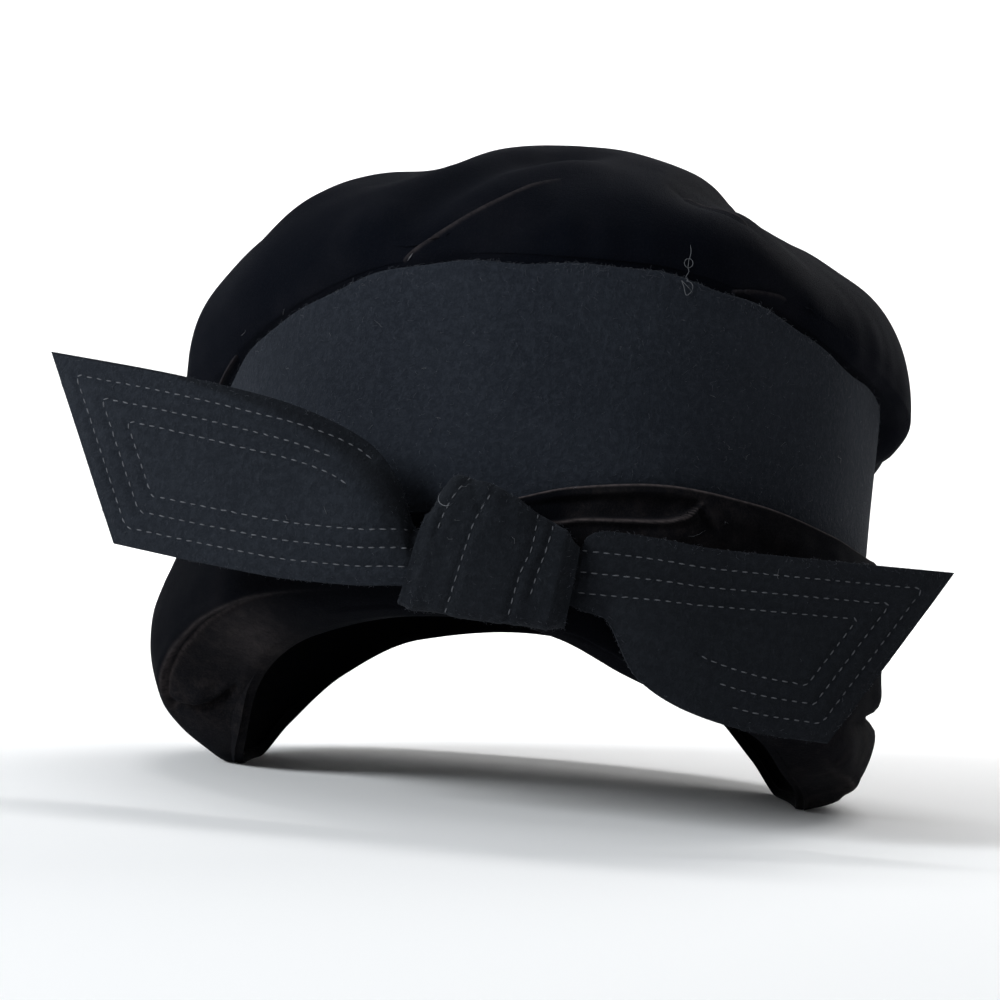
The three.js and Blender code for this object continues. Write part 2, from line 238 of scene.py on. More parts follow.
# %% [markdown]
# ## Felt
# Wool felt is a mat of fibres with no weave. Close up it shows short pale hairs that lie in
# every direction over a darker ground, and soft lighter patches where it was handled. The
# hairs are three sets of thin streaks, each turned another way.

# %% Felt material
# how much of the felt's colours is left where shade is painted on it
PAINTED_SHADE_FACTOR = 0.5
FIBRE_SETS = (((0.4, 0.2, 0.3), 0.7), ((0.1, 1.1, 1.9), 0.8), ((1.3, 0.6, 2.7), 0.6))


def felt(name, ground, pale):
    """An attribute paints shade: where it is high, a darker copy of the felt's colours is used."""
    material, tree, shader = cloth_material(name, 0.035, 0.5, (0.62, 0.7, 0.85, 1), 0.1)
    point = object_point(tree)
    hairs = None
    for turn, size in FIBRE_SETS:
        warped = node(tree, "ShaderNodeVectorMath", {"operation": "ADD"}, {
            0: stretched(tree, point, turn, (3.0, 1.0, 1.0)),
            1: node(tree, "ShaderNodeVectorMath", {"operation": "SCALE"}, {
                0: node(tree, "ShaderNodeTexNoise", {}, {"Vector": point, "Scale": 260.0}, "Color"),
                "Scale": 0.0016}),
        })
        streak = step_up(tree, noise(tree, warped, size, 2.0, 0.6), 0.56, 0.78)
        hairs = streak if hairs is None else hairs + streak
    patches = step_up(tree, noise(tree, point, 26, 3.0), 0.36, 0.7)
    mottle = step_up(tree, noise(tree, point, 1.6, 3.0, 0.6), 0.4, 0.66)
    grain = noise(tree, point, 0.5, 4.0, 0.75)
    share = hairs * 0.2 + patches * 0.12 + mottle * 0.22 + step_up(tree, grain, 0.4, 0.66) * 0.24
    # a darker copy of the colours, blended in by the painted shade attribute
    shaded = [tuple(PAINTED_SHADE_FACTOR * part for part in colour[:3]) + (1,) for colour in (ground, pale)]
    away = painted(tree, "painted_shade")
    lit_felt, shaded_felt = blend_colour(tree, share, ground, pale), blend_colour(tree, share, *shaded)
    connect(tree, blend_colour(tree, away, lit_felt, shaded_felt), shader.inputs["Base Color"])
    connect(tree, 1.0 - hairs * 0.1, shader.inputs["Roughness"])
    height = hairs * 0.35 + grain + mottle * 0.5 + noise(tree, point, 4, 2.0) * 0.8
    connect(tree, bump(tree, height, 0.2), shader.inputs["Normal"])
    return material


felt_navy = felt("navy_felt", (0.0064, 0.0082, 0.0119, 1), (0.0225, 0.0265, 0.0345, 1))
felt_bow = felt("bow_felt", (0.0068, 0.0085, 0.0117, 1), (0.0222, 0.0260, 0.0332, 1))
print("felts:", felt_navy.name, felt_bow.name)

# %% [markdown]
# ## Velvet
# Velvet is darkest where the eye looks down into its pile, and pale where the pile turns
# edge-on at a fold. The sheen layer does that, and a fine bump breaks it up. Broad faint
# patches stand for pile that lies another way. Where the cloth was turned under it is browner
# and rubbed; the same colour also paints light into the shadowed pocket at the right and a
# highlight on the facing at the left. Along a fold's edge a pale line is painted as a highlight.

# %% Velvet material
# the underside's brown colours, also used as painted light in the band's pocket and as a painted
# highlight on its facing
UNDERSIDE_AND_PAINTED_LIGHT = ((0.0048, 0.0048, 0.0058, 1), (0.0180, 0.0155, 0.0155, 1))
# the pale colour of the painted highlight along fold edges
FOLD_HIGHLIGHT = (0.088, 0.074, 0.074, 1)


def velvet(name, ground, worn, sheen, sheen_tint):
    """Two attributes: where the underside colour goes, which also paints light and a highlight on the
    band, and where a fold's edge has a painted highlight.
    """
    material, tree, shader = cloth_material(name, sheen, 0.4, sheen_tint, 0.02)
    point = object_point(tree)
    crushed = step_up(tree, noise(tree, point, 30, 3.0, 0.55), 0.45, 0.75)
    pile = step_up(tree, noise(tree, point, 0.5, 3.0, 0.7), 0.4, 0.7)
    colour = blend_colour(tree, crushed * 0.5 + pile * 0.3, ground, worn)
    rubbed_and_highlight = noise(tree, point, 5, 5.0, 0.75)
    under = blend_colour(tree, step_up(tree, rubbed_and_highlight, 0.44, 0.66) * 0.55 + pile * 0.45, *UNDERSIDE_AND_PAINTED_LIGHT)
    # the underside colour, which on the band also paints light into the pocket and a highlight on the
    # facing
    colour = blend_colour(tree, painted(tree, "underside_and_painted_light"), colour, under)
    broken = step_up(tree, noise(tree, point, 1.6, 3.0, 0.6), 0.3, 0.62)
    # a painted highlight along fold edges, broken up a little
    colour = blend_colour(tree, painted(tree, "painted_fold_highlight") * (0.45 + broken * 0.55), colour, FOLD_HIGHLIGHT)
    connect(tree, colour, shader.inputs["Base Color"])
    connect(tree, 0.95 - crushed * 0.08, shader.inputs["Roughness"])
    height = pile * 0.6 + noise(tree, point, 7, 2.0) * 1.2
    connect(tree, bump(tree, height, 0.12), shader.inputs["Normal"])
    return material


black_velvet = velvet("black_velvet", (0.0018, 0.0024, 0.0042, 1), (0.0060, 0.0062, 0.0084, 1),
                      0.009, (0.5, 0.6, 0.9, 1))
brown_velvet = velvet("brown_velvet", (0.0014, 0.0018, 0.0028, 1), (0.0046, 0.0044, 0.0055, 1),
                      0.007, (0.55, 0.62, 0.85, 1))
print("velvets:", black_velvet.name, brown_velvet.name)

# %% [markdown]
# ## Thread, lint and studio floor
# The topstitching is a pale grey thread and the lint is nearly white. Both are tiny, so a
# plain thread colour with a fine twist in the bump is enough.

# %% Thread and floor materials
def thread(name, pale, dark, twist_mm):
    material, tree, shader = cloth_material(name, 0.2, 0.5, (0.9, 0.92, 1, 1), 0.2)
    point = object_point(tree)
    share = noise(tree, point, twist_mm, 2.0)
    connect(tree, blend_colour(tree, share, dark, pale), shader.inputs["Base Color"])
    connect(tree, 0.8 + share * 0.15, shader.inputs["Roughness"])
    connect(tree, bump(tree, share, 0.05), shader.inputs["Normal"])
    return material


stitch_thread = thread("stitch_thread", (0.115, 0.12, 0.13, 1), (0.045, 0.048, 0.056, 1), 0.9)
# a darker copy of the stitch thread: painted shade for the stitches of the right tail and the knot
shaded_thread = thread("shaded_stitch_thread", (0.082, 0.086, 0.094, 1), (0.032, 0.035, 0.042, 1), 0.9)
wool_hair = thread("wool_hair", (0.052, 0.058, 0.072, 1), (0.018, 0.021, 0.028, 1), 2.0)
lint_white = thread("lint_white", (0.24, 0.24, 0.25, 1), (0.10, 0.10, 0.11, 1), 0.8)
lint_grey = thread("lint_grey", (0.11, 0.115, 0.125, 1), (0.05, 0.053, 0.06, 1), 0.8)

floor_material = bpy.data.materials.new("pale_floor")
floor_material.use_nodes = True
floor_shader = floor_material.node_tree.nodes["Principled BSDF"]
PAPER = (0.92, 0.92, 0.92, 1)
floor_shader.inputs["Base Color"].default_value = PAPER
floor_shader.inputs["Roughness"].default_value = 0.9
floor_shader.inputs["Specular IOR Level"].default_value = 0.1
print("threads:", stitch_thread.name, shaded_thread.name, wool_hair.name, lint_white.name, lint_grey.name)

# %% [markdown]
# ## The floor
# A sheet of pale paper lies under the hat and curves up far behind it, so that no line shows
# where the floor ends. A plane is enough for it: its far edge is extruded along the curve.

# %% Floor that curves up
bpy.ops.object.select_all(action="DESELECT")
bpy.ops.mesh.primitive_plane_add(size=1, location=(0, 0, 0))
floor = bpy.context.object
floor.name = "floor"
FLOOR_HALF = 2.4
CURVE_RADIUS = 1.2
CURVE_STEPS = 12
floor.scale = (2 * FLOOR_HALF, 2 * FLOOR_HALF, 1)
bpy.ops.object.transform_apply(location=False, rotation=False, scale=True)
floor_mesh = bmesh.new()
floor_mesh.from_mesh(floor.data)
far_edge = [e for e in floor_mesh.edges if all(v.co.y > FLOOR_HALF - 0.1 for v in e.verts)]
for step in range(1, CURVE_STEPS + 1):
    angle = math.radians(90 * step / CURVE_STEPS)
    made = bmesh.ops.extrude_edge_only(floor_mesh, edges=far_edge)["geom"]
    far_edge = [g for g in made if isinstance(g, bmesh.types.BMEdge)]
    for vertex in {v for e in far_edge for v in e.verts}:
        vertex.co.y = FLOOR_HALF + CURVE_RADIUS * math.sin(angle)
        vertex.co.z = CURVE_RADIUS * (1 - math.cos(angle))
floor_mesh.to_mesh(floor.data)
floor_mesh.free()
floor.data.polygons.foreach_set("use_smooth", [True] * len(floor.data.polygons))
floor.data.materials.append(floor_material)
print("floor faces:", len(floor.data.polygons))

# %% [markdown]
# ## Smooth tables
# A pattern cutter notes a height or a width at a few places and draws a fair curve through
# them. A table here is the same: named columns, a few rows, and a curve that never swings
# past its rows. Round the hat the curve also closes on itself. The hills of an uneven cloth
# are a sum of waves that run all ways.

# %% Curves through tables
def fair(keys, values, at):
    """Values at any place between the keys, without overshoot."""
    slopes = np.diff(values) / np.diff(keys)
    both = slopes[:-1] * slopes[1:]
    total = np.where(both > 0, slopes[:-1] + slopes[1:], 1)
    inner = np.where(both > 0, 2 * both / total, 0)
    ends = np.concatenate([[slopes[0]], inner, [slopes[-1]]])
    row = np.clip(np.searchsorted(keys, at, side="right") - 1, 0, len(keys) - 2)
    span = keys[row + 1] - keys[row]
    t = np.clip((at - keys[row]) / span, 0, 1)
    rise = t * t * (3 - 2 * t)
    leaving = t * (1 - t) ** 2 * span * ends[row]
    arriving = t * t * (t - 1) * span * ends[row + 1]
    return values[row] * (1 - rise) + values[row + 1] * rise + leaving + arriving


class Pattern:
    """A short table with named columns, read as smooth curves."""

    def __init__(self, columns, *rows):
        named = zip(columns.split(), zip(*rows))
        self.columns = {name: np.array(values, float) for name, values in named}
        self.count = len(rows)

    def round(self, name, deg):
        """A column at an angle round the hat."""
        keys, values = self.columns["deg"], self.columns[name]
        keys = np.concatenate([[keys[-1] - 360], keys, [keys[0] + 360, keys[1] + 360]])
        values = np.concatenate([[values[-1]], values, [values[0], values[1]]])
        turned = (np.asarray(deg, float) - keys[1]) % 360 + keys[1]
        return fair(keys, values, turned)

    def along(self, name, share):
        """A column at a share of the way down the table."""
        keys = np.linspace(0, 1, self.count)
        return fair(keys, self.columns[name], np.asarray(share, float))


def ease(value, low, high):
    """0 below low, 1 above high, smooth between."""
    t = np.clip((value - low) / (high - low), 0, 1)
    return t * t * (3 - 2 * t)


def hump(value, width):
    return np.exp(-((value / width) ** 2))


def ripple(points, size, seed):
    """Gentle hills about size mm across, from -1 to 1, the same each time."""
    draw = np.random.default_rng(seed)
    total = np.zeros(points.shape[:-1])
    for _ in range(14):
        way = draw.normal(size=3)
        way *= 2 * math.pi / (size * draw.uniform(0.7, 1.6) * np.linalg.norm(way))
        total += np.sin(points @ way + draw.uniform(0, 2 * math.pi))
    return total / 4


print("ripple at the middle:", ripple(np.zeros((1, 3)), 20, 1).round(3))

# %% [markdown]
# ## Rings round the hat
# The hat is an oval that leans back a little and widens upwards. Every ring on it is that
# oval at some height, moved outwards by some spread. A sheet is then a stack of rings.

# %% Rings and sheets
CUFF = (87.7, 102.0)
OPENING = (79.5, 96.2)
SOLE = (75.5, 96.2)
LEAN, LEAN_LEVEL = 0.08, 50
FLARE, FLARE_LEVEL = 0.025, 95


def on_ring(oval, spread, deg, height):
    """Points of a ring: half widths of the oval, spread, angles from the front, height."""
    angle = np.radians(deg)
    flare = FLARE * (height - FLARE_LEVEL)
    x = (oval[0] + spread + flare) * np.sin(angle)
    y = -(oval[1] + spread + flare) * np.cos(angle) + LEAN * (height - LEAN_LEVEL)
    return np.stack(np.broadcast_arrays(x, y, height), -1)


def outward(grid, closed_rows):
    """Normals of a grid of points whose rows are rings."""
    along = np.roll(grid, -1, 1) - np.roll(grid, 1, 1)
    if closed_rows:
        down = np.roll(grid, -1, 0) - np.roll(grid, 1, 0)
    else:
        down = np.gradient(grid, axis=0)
    normal = np.cross(down, along)
    length = np.linalg.norm(normal, axis=-1, keepdims=True)
    return normal / np.maximum(length, 1e-9)


def closed_ends(rings):
    """Rings with their middles added before the first and after the last one."""
    ends = [np.repeat(ring.mean(1, keepdims=True), rings.shape[1], 1) for ring in (rings[:1], rings[-1:])]
    return np.concatenate([ends[0], rings, ends[1]])


def sheet_of(name, grid, material, closed_rows, sharp_deg=50):
    """A mesh over a grid of points in millimetres. Rings are closed; rows may be too."""
    rows, columns = grid.shape[:2]
    bands = rows if closed_rows else rows - 1
    row = np.arange(bands)[:, None]
    step = np.arange(columns)[None, :]
    next_row, next_step = (row + 1) % rows, (step + 1) % columns
    corners = [row * columns + step, next_row * columns + step,
               next_row * columns + next_step, row * columns + next_step]
    faces = np.stack([np.broadcast_to(c, (bands, columns)) for c in corners], -1).reshape(-1, 4)
    mesh = bpy.data.meshes.new(name)
    mesh.from_pydata(to_frame(grid.reshape(-1, 3)).tolist(), [], faces.tolist())
    piece = bpy.data.objects.new(name, mesh)
    bpy.context.scene.collection.objects.link(piece)
    whole = bmesh.new()
    whole.from_mesh(mesh)
    bmesh.ops.remove_doubles(whole, verts=whole.verts, dist=2e-6)
    bmesh.ops.dissolve_degenerate(whole, edges=whole.edges, dist=1e-7)
    bmesh.ops.triangulate(whole, faces=[f for f in whole.faces if len(f.verts) > 4])
    if whole.calc_volume(signed=True) < 0:
        bmesh.ops.reverse_faces(whole, faces=whole.faces)
    whole.to_mesh(mesh)
    whole.free()
    mesh.materials.append(material)
    bpy.ops.object.select_all(action="DESELECT")
    piece.select_set(True)
    bpy.context.view_layer.objects.active = piece
    bpy.ops.object.shade_smooth_by_angle(angle=math.radians(sharp_deg))
    print(name, "faces:", len(mesh.polygons))
    return piece


def finish_piece(piece, node_name):
    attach(piece, "root")
    if node_name:
        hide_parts(node_name)
    return piece


# %% [markdown]
# ## The felt cuff
# The cuff is blocked felt: a stiff upright wall whose upper edge is simply cut and left
# free. It is made as one closed section that runs up the outside, over the rounded cut edge
# and down the inside, and is carried round the oval. The edge wavers a little, as a hand
# cut one does.

# %% Tables of the cuff
FELT = 2.6
FELT_EDGE = Pattern(
    "deg top",
    (-180, 84), (-120, 84), (-97, 86), (-83, 91), (-70, 99), (-60, 107.5), (-45, 118.3),
    (-29, 126.9), (-10, 131.3), (12, 131.6), (27, 128.3), (43, 120.8), (58, 113.5),
    (72, 108.5), (84, 102), (97, 89), (112, 84),
)
BAND = Pattern(
    "deg rim top stand bulge bulge_at fold fold_at sole",
    (-180, 36, 74, 0, 6, 58, 5, 43, 1), (-155, 32, 72, 0, 7, 55, 6, 39, 1),
    (-135, 21, 70, 0, 9, 49, 7, 30, -1), (-118, 8, 68, 0, 11, 42, 8, 20, -4),
    (-104, 0, 67, 0, 12.5, 39, 8.5, 15, -6), (-92, 0, 66, 0, 13.5, 38, 10, 14, -4.5),
    (-79, 7, 66, 0, 13.5, 39, 10, 19, -4.5),
    (-70, 21, 67, 0, 12, 42, 10, 30, -3), (-59, 31, 68, 0, 10.5, 48, 9, 39, -1),
    (-46, 38.5, 69, 0, 8.5, 56, 8, 46.4, 0), (-22, 46, 70, 0, 5.5, 60, 4.5, 51, 1),
    (-8, 47, 74, 0, 5, 62, 4, 52, 1), (4, 43.5, 79, 0.5, 5, 62, 4, 48, 1),
    (17, 36, 81, 1.8, 5.5, 60, 4.5, 41, 1), (33, 28.5, 78.2, 2.6, 6, 56, 5, 35, 0),
    (50, 21.5, 72.5, 2, 6.5, 48, 5, 28, -1), (63, 11.5, 68.5, 0.5, 6.5, 43, 5, 19, -2),
    (73, 6.5, 66.5, 0, 6.2, 38, 3.8, 13, -1.6), (87, 0, 65.5, 0, 6.2, 36, 4.6, 10.5, -1.4),
    (104, 0, 65, 0, 6.4, 36, 4.6, 11, -1.4),
    (118, 8, 67, 0, 7.5, 42, 6, 19, -2), (135, 21, 69, 0, 7.5, 49, 6, 30, -1),
    (155, 32, 72, 0, 7, 55, 5, 39, 1),
)


def turn_degrees(front_steps, back_steps):
    """Angles round the hat, closer together over the front half."""
    front = np.linspace(-95, 95, front_steps, endpoint=False)
    back = np.linspace(95, 265, back_steps, endpoint=False)
    return np.concatenate([front, back])


def cuff_base(deg):
    return 28 + 0.55 * BAND.round("rim", deg)


print("cut edge in front and behind, in mm:", FELT_EDGE.round("top", [0, 180]).round(1))

# %% Felt cuff
def make_felt_cuff():
    deg = turn_degrees(300, 150)
    wander = 0.35 * np.sin(np.radians(deg) * 11) + 0.25 * np.sin(np.radians(deg) * 23 + 1)
    top = FELT_EDGE.round("top", deg) + wander
    base = cuff_base(deg)
    # spread from the outside face and drop below the top, round the cut edge
    edge = [(-0.45, 0.0), (-0.12, 0.15), (0.0, 0.55)]
    rows = [on_ring(CUFF, spread, deg, top - drop) for spread, drop in edge]
    for share in np.linspace(0.02, 1, 44):
        rows.append(on_ring(CUFF, 0, deg, top - 0.55 + (base - top + 0.55) * share))
    for share in np.linspace(1, 0.02, 16):
        rows.append(on_ring(CUFF, -FELT, deg, top - 0.55 + (base - top + 0.55) * share))
    rows += [on_ring(CUFF, -FELT - spread, deg, top - drop) for spread, drop in edge[::-1]]
    grid = np.stack(rows)
    normal = outward(grid, True)
    outer = ease((grid[..., 2] - base) / (top - base), 0.0, 0.2)
    grid = grid + normal * (0.22 * ripple(grid, 45, 3) * outer)[..., None]
    return sheet_of("felt_cuff_cloth", grid, felt_navy, True)


felt_cuff = finish_piece(make_felt_cuff(), "felt_cuff")

# %% [markdown]
# ## The puffed crown
# The crown is a round of velvet eased into the cuff. It puffs out at the sides and the back,
# where it is gathered. Three laid pleats start at the felt's edge and a short one lies on the
# dome. A pleat laps over the cloth beside it, so its lip is a fine line with a painted pale
# highlight and a soft hollow next to it. The dome comes from a table, and folds and hollows
# are pushed in or out along the surface.

# %% Tables of the crown
VELVET = 2.4
CROWN_TOP, CROWN_POWER, TUCK, TUCK_CLEARANCE = 170.5, 1.8, 9, 0.6
CROWN = Pattern(
    "deg reach level",
    (-180, 8, 106), (-130, 10.5, 106), (-100, 10.5, 106), (-84, 9, 107), (-70, 4, 114),
    (-50, -0.5, 126), (-25, -2.5, 136), (0, -2.5, 138), (25, -2.5, 137), (50, -1.5, 126),
    (70, 2, 117), (84, 7.5, 109), (100, 10.5, 106), (130, 10.5, 106),
)
# hollows and ridges as lines in plan: x1 y1 x2 y2 depth width
CROWN_FOLDS = (
    (-40, -86, 4, -40, -3, 7), (30, -70, 60, 24, -4, 7), (66, -60, 72, 60, -4.5, 18),
    (50, -56, 58, 50, -2.6, 9), (84, -70, 84, 60, 2.4, 10), (-66, -40, -58, 40, 2, 10),
    (-36, -50, -30, 50, -3, 12),
    (-52, 84, -14, 30, -4, 9), (44, 88, 12, 34, -4, 9),
)
# laid pleats, seen from the front, where up is z, or from above, where up is y: where each
# starts and ends, how far its middle bows, the height of its lip, how wide it laps, the depth
# of the hollow beside it, how strong the painted highlight on its lip is
PLEATS = Pattern(
    "x1 up1 x2 up2 bow lip lap hollow worn above",
    (-41.0, 128.2, 3.5, 156.6, 1.6, 1.4, 17, 1.4, 0.22, 0),
    (39.0, 129.0, 57.5, 128.7, 0.8, 0.9, 6, 0.8, 0.13, 0),
    (-86.5, 97.0, -79.0, 108.0, 0.5, 0.9, 5, 0.6, 0.16, 0),
    (26.5, -64.0, 47.5, -66.4, -0.4, 1.0, 9, 1.2, 0.45, 1),
)
print("crown: folds", len(CROWN_FOLDS), "and laid pleats", PLEATS.count)


def line_place(x, y, x1, y1, x2, y2):
    """How far along a line a point lies, and how far to its left."""
    along_x, along_y = x2 - x1, y2 - y1
    length = math.hypot(along_x, along_y)
    share = ((x - x1) * along_x + (y - y1) * along_y) / length ** 2
    side = (along_x * (y - y1) - along_y * (x - x1)) / length
    return share, side


def fold_lift(x, y):
    lift = np.zeros_like(x)
    for x1, y1, x2, y2, depth, width in CROWN_FOLDS:
        share, side = line_place(x, y, x1, y1, x2, y2)
        lift += depth * ease(share, -0.15, 0.15) * (1 - ease(share, 0.85, 1.15)) * hump(side, width)
    return lift


def pleat_rows():
    return [dict(zip(PLEATS.columns, values)) for values in zip(*PLEATS.columns.values())]


# %% The crown's surface
def crown_row(share, deg):
    """A ring of the dome: share 0 is the top, 1 the widest part."""
    reach, level = CROWN.round("reach", deg), CROWN.round("level", deg)
    rise = (CROWN_TOP - level) * (1 - share ** CROWN_POWER) ** (1 / CROWN_POWER)
    rim = on_ring(CUFF, reach, deg, level)
    centre_y = LEAN * (CROWN_TOP - LEAN_LEVEL)
    x = rim[:, 0] * share
    y = centre_y + (rim[:, 1] - centre_y) * share
    return np.stack([x, y, level + rise + fold_lift(x, y)], -1)


def curl_row(share, deg):
    """A ring of the curl below the widest part, down to where it enters the cuff."""
    reach, level = CROWN.round("reach", deg), CROWN.round("level", deg)
    edge = FELT_EDGE.round("top", deg)
    inner = -FELT - TUCK_CLEARANCE
    keys = np.linspace(0, 1, 6)
    spread_share = fair(keys, np.array([1, 1, 0.78, 0.4, 0.02, 0.0]), np.full(1, share))[0]
    rise_share = fair(keys, np.array([1, 0.66, 0.33, 0.1, 0.0, 0.0]), np.full(1, share))[0]
    lift = fair(keys, np.array([0, 0, 0, 1.2, 1.0, 0.0]), np.full(1, share))[0]
    height = edge + (level - edge) * rise_share + lift
    return on_ring(CUFF, inner + (reach - inner) * spread_share, deg, height)


def pleat_hollow(grid):
    """The soft hollow above and beside each laid pleat, where the cloth dips under its lip."""
    x, y, z = grid[..., 0], grid[..., 1], grid[..., 2]
    push = np.zeros(x.shape)
    for pleat in pleat_rows():
        facing, up = (1, y) if pleat["above"] else (1 - ease(y, 20, 60), z)
        share, side = line_place(x, up, pleat["x1"], pleat["up1"], pleat["x2"], pleat["up2"])
        upper = side - pleat["bow"] * (1 - (2 * share - 1) ** 2)
        ends = ease(share, -0.25, 0.15) * (1 - ease(share, 0.75, 1.35))
        beyond = np.maximum(upper, 0) / pleat["lap"] + np.maximum(-upper, 0) / (0.6 * pleat["lap"])
        push -= facing * ends * pleat["hollow"] * np.exp(-beyond ** 1.3)
    return push


print("top of the dome, in mm:", crown_row(0.0, np.zeros(1)).round(1))

# %% Velvet crown
def make_velvet_crown():
    deg = turn_degrees(350, 150)
    dome = [crown_row(share, deg) for share in np.sin(np.linspace(0, 1, 88) * math.pi / 2)]
    curl = [curl_row(share, deg) for share in np.linspace(0, 1, 27)[1:]]
    outer = np.stack(dome + curl)
    normal = outward(outer, False)
    normal[0] = (0, 0, 1)
    edge = FELT_EDGE.round("top", deg)
    above = outer[..., 2] - edge
    free = ease(above, 0.5, 9)
    level_share = ease(np.linspace(0, 1, len(outer)), 0.05, 0.3)[:, None]
    turn = np.radians(deg)
    gathers = np.sin(turn * 37 + 3.5 * np.sin(turn * 5) + 2 * np.sin(turn * 3 + 1))
    gathers = gathers * (0.6 + 0.4 * np.sin(turn * 7 + 0.5)) * hump(above - 5, 15)
    drawn = np.sin(turn * 13 + 2 * np.sin(turn * 4) + 0.7) * hump(above - 14, 26)
    back = ease(outer[..., 1], 0, 55)
    push = pleat_hollow(outer) * free
    push += (0.9 * ripple(outer, 62, 11) + 0.3 * ripple(outer, 24, 12)) * free * level_share
    gathered = 1.5 * gathers * (0.12 + 0.88 * back) + 2.0 * drawn * (0.05 + 0.95 * back) * level_share
    push += gathered * ease(above, 0.3, 5)
    outer = outer + normal * push[..., None]
    tucked = [on_ring(CUFF, -FELT - TUCK_CLEARANCE, deg, edge - drop) for drop in (3, 6, TUCK)]
    outer = np.concatenate([outer, np.stack(tucked)])
    keep = np.unique(np.concatenate([np.arange(0, len(outer), 4), [len(outer) - 1]]))
    coarse = outer[keep]
    inner_normal = outward(coarse, False)
    inner_normal[0] = (0, 0, 1)
    inner = (coarse - VELVET * inner_normal)[::-1]
    inner[0, :, 2] = outer[-1, :, 2]
    return sheet_of("velvet_crown_cloth", np.concatenate([outer, inner]), black_velvet, False)


velvet_crown = finish_piece(make_velvet_crown(), "velvet_crown")

# %% [markdown]
# ### Laid pleats
# A pleat is a lap of the same cloth. Its lip is a narrow rolled edge, and from there it sinks
# back into the crown. The lap is laid on the finished crown by looking at it from the front,
# or from above, point by point, so it follows every hollow.

# %% Looking at a finished piece
class Skin:
    """A piece's surface, asked where a straight look at it meets it."""

    def __init__(self, piece):
        self.tree = bvhtree.BVHTree.FromPolygons(
            [v.co for v in piece.data.vertices], [p.vertices for p in piece.data.polygons])

    def look(self, start, way):
        """The point in mm and the outward normal, or nothing where the look passes by."""
        place, normal, _, _ = self.tree.ray_cast(Vector(to_frame(start)), Vector(way))
        if place is None:
            return None, None
        if normal.dot(Vector(way)) > 0:
            normal = -normal
        return np.array(place) * 1000 - HAT_MIDDLE, np.array(normal)

    def meet(self, x, z, way=1):
        """A look from the front, or from the back where way is -1."""
        return self.look([x, -400 * way, z], (0, way, 0))

    def meet_below(self, x, y):
        return self.look([x, y, 400], (0, 0, -1))


print("the cuff met from the front, in mm:", Skin(felt_cuff).meet(0, 100)[0].round(1))

# %% Laid pleats of the crown
LAP_SUNK = 0.8
LAP_THICK = 1.3


def lay_pleat(skin, pleat, highlight_at, steps=90):
    """Rings of a lap from end to end. Each place and its share of painted highlight is added to the list
    given.
    """
    across = np.concatenate([np.linspace(0, 0.09, 7), np.linspace(0.14, 1, 13)])
    first, last = np.array([pleat["x1"], pleat["up1"]]), np.array([pleat["x2"], pleat["up2"]])
    length = np.linalg.norm(last - first)
    way = (last - first) / length
    up = np.array([-way[1], way[0]])
    look, lip_out = (skin.meet_below, [0, 1, 2]) if pleat["above"] else (skin.meet, [0, 2, 1])
    lip_out = np.append(up, 0)[lip_out]
    rings = []
    for share in np.linspace(0, 1, steps):
        fade = float(ease(share, 0, 0.14) * (1 - ease(share, 0.7, 1.0)))
        start = first + way * length * share + up * pleat["bow"] * (1 - (2 * share - 1) ** 2)
        top, under = [], []
        for s in across:
            place, normal = look(*(start - up * pleat["lap"] * s))
            if place is None:
                break
            stand = (pleat["lip"] + LAP_SUNK) * fade * (1 - s) ** 1.6 - LAP_SUNK
            # the painted highlight along the lap's lip
            worn = pleat["worn"] * fade * hump(s * pleat["lap"] - 0.1, 0.45)
            highlight_at.append((place + normal * stand, worn))
            top.append(place + normal * stand)
            under.append(place + normal * (stand - LAP_THICK * (1 - 0.5 * s)))
        if len(top) < len(across):
            continue
        edge = [top[0] * 0.72 + under[0] * 0.28 + lip_out * 0.42,
                top[0] * 0.35 + under[0] * 0.65 + lip_out * 0.38]
        rings.append(np.array(top[::-1] + edge + under))
    return closed_ends(np.stack(rings))


def set_shares(piece, name, shares):
    made = piece.data.attributes.new(name, "FLOAT", "POINT")
    made.data.foreach_set("value", np.clip(shares, 0, 1).astype(np.float32))


def points_of(piece):
    flat = np.empty(len(piece.data.vertices) * 3)
    piece.data.vertices.foreach_get("co", flat)
    return flat.reshape(-1, 3) * 1000 - HAT_MIDDLE


def lap_piece(skin, number, pleat):
    """A lap's mesh. The painted highlight on its lip comes from how near each point is to the edge."""
    highlight_at = []
    piece = sheet_of(f"lap_{number}", lay_pleat(skin, pleat, highlight_at), black_velvet, False, 60)
    places, shares = np.array([p for p, _ in highlight_at]), np.array([s for _, s in highlight_at])
    near = [np.argmin(((places - point) ** 2).sum(-1)) for point in points_of(piece)]
    set_shares(piece, "painted_fold_highlight", shares[near])
    return piece


# the crown itself carries no painted highlight; only its laps do
set_shares(velvet_crown, "painted_fold_highlight", np.zeros(len(velvet_crown.data.vertices)))
plain_crown = Skin(velvet_crown)
laps = [lap_piece(plain_crown, number, pleat) for number, pleat in enumerate(pleat_rows(), 1)]
bpy.ops.object.select_all(action="DESELECT")
for piece in laps + [velvet_crown]:
    piece.select_set(True)
bpy.context.view_layer.objects.active = velvet_crown
bpy.ops.object.join()
print("crown with its laid pleats, faces:", len(velvet_crown.data.polygons))

# %% [markdown]
# ## The draped band
# A bias strip of velvet goes round the rim. Its section starts at the upper edge, bellies
# out, turns under at a lower fold, runs in beneath as a facing and ends in a flap inside.
# At the right the upper edge stands off the felt, and a second fold lies over the first one
# up to a small tacked pucker. Elsewhere the slack velvet lies in soft level folds.

# %% The band's section
BAND_TURN = 7
FLAP = 8
GAP = 0.3
ROWS_OUT = 104
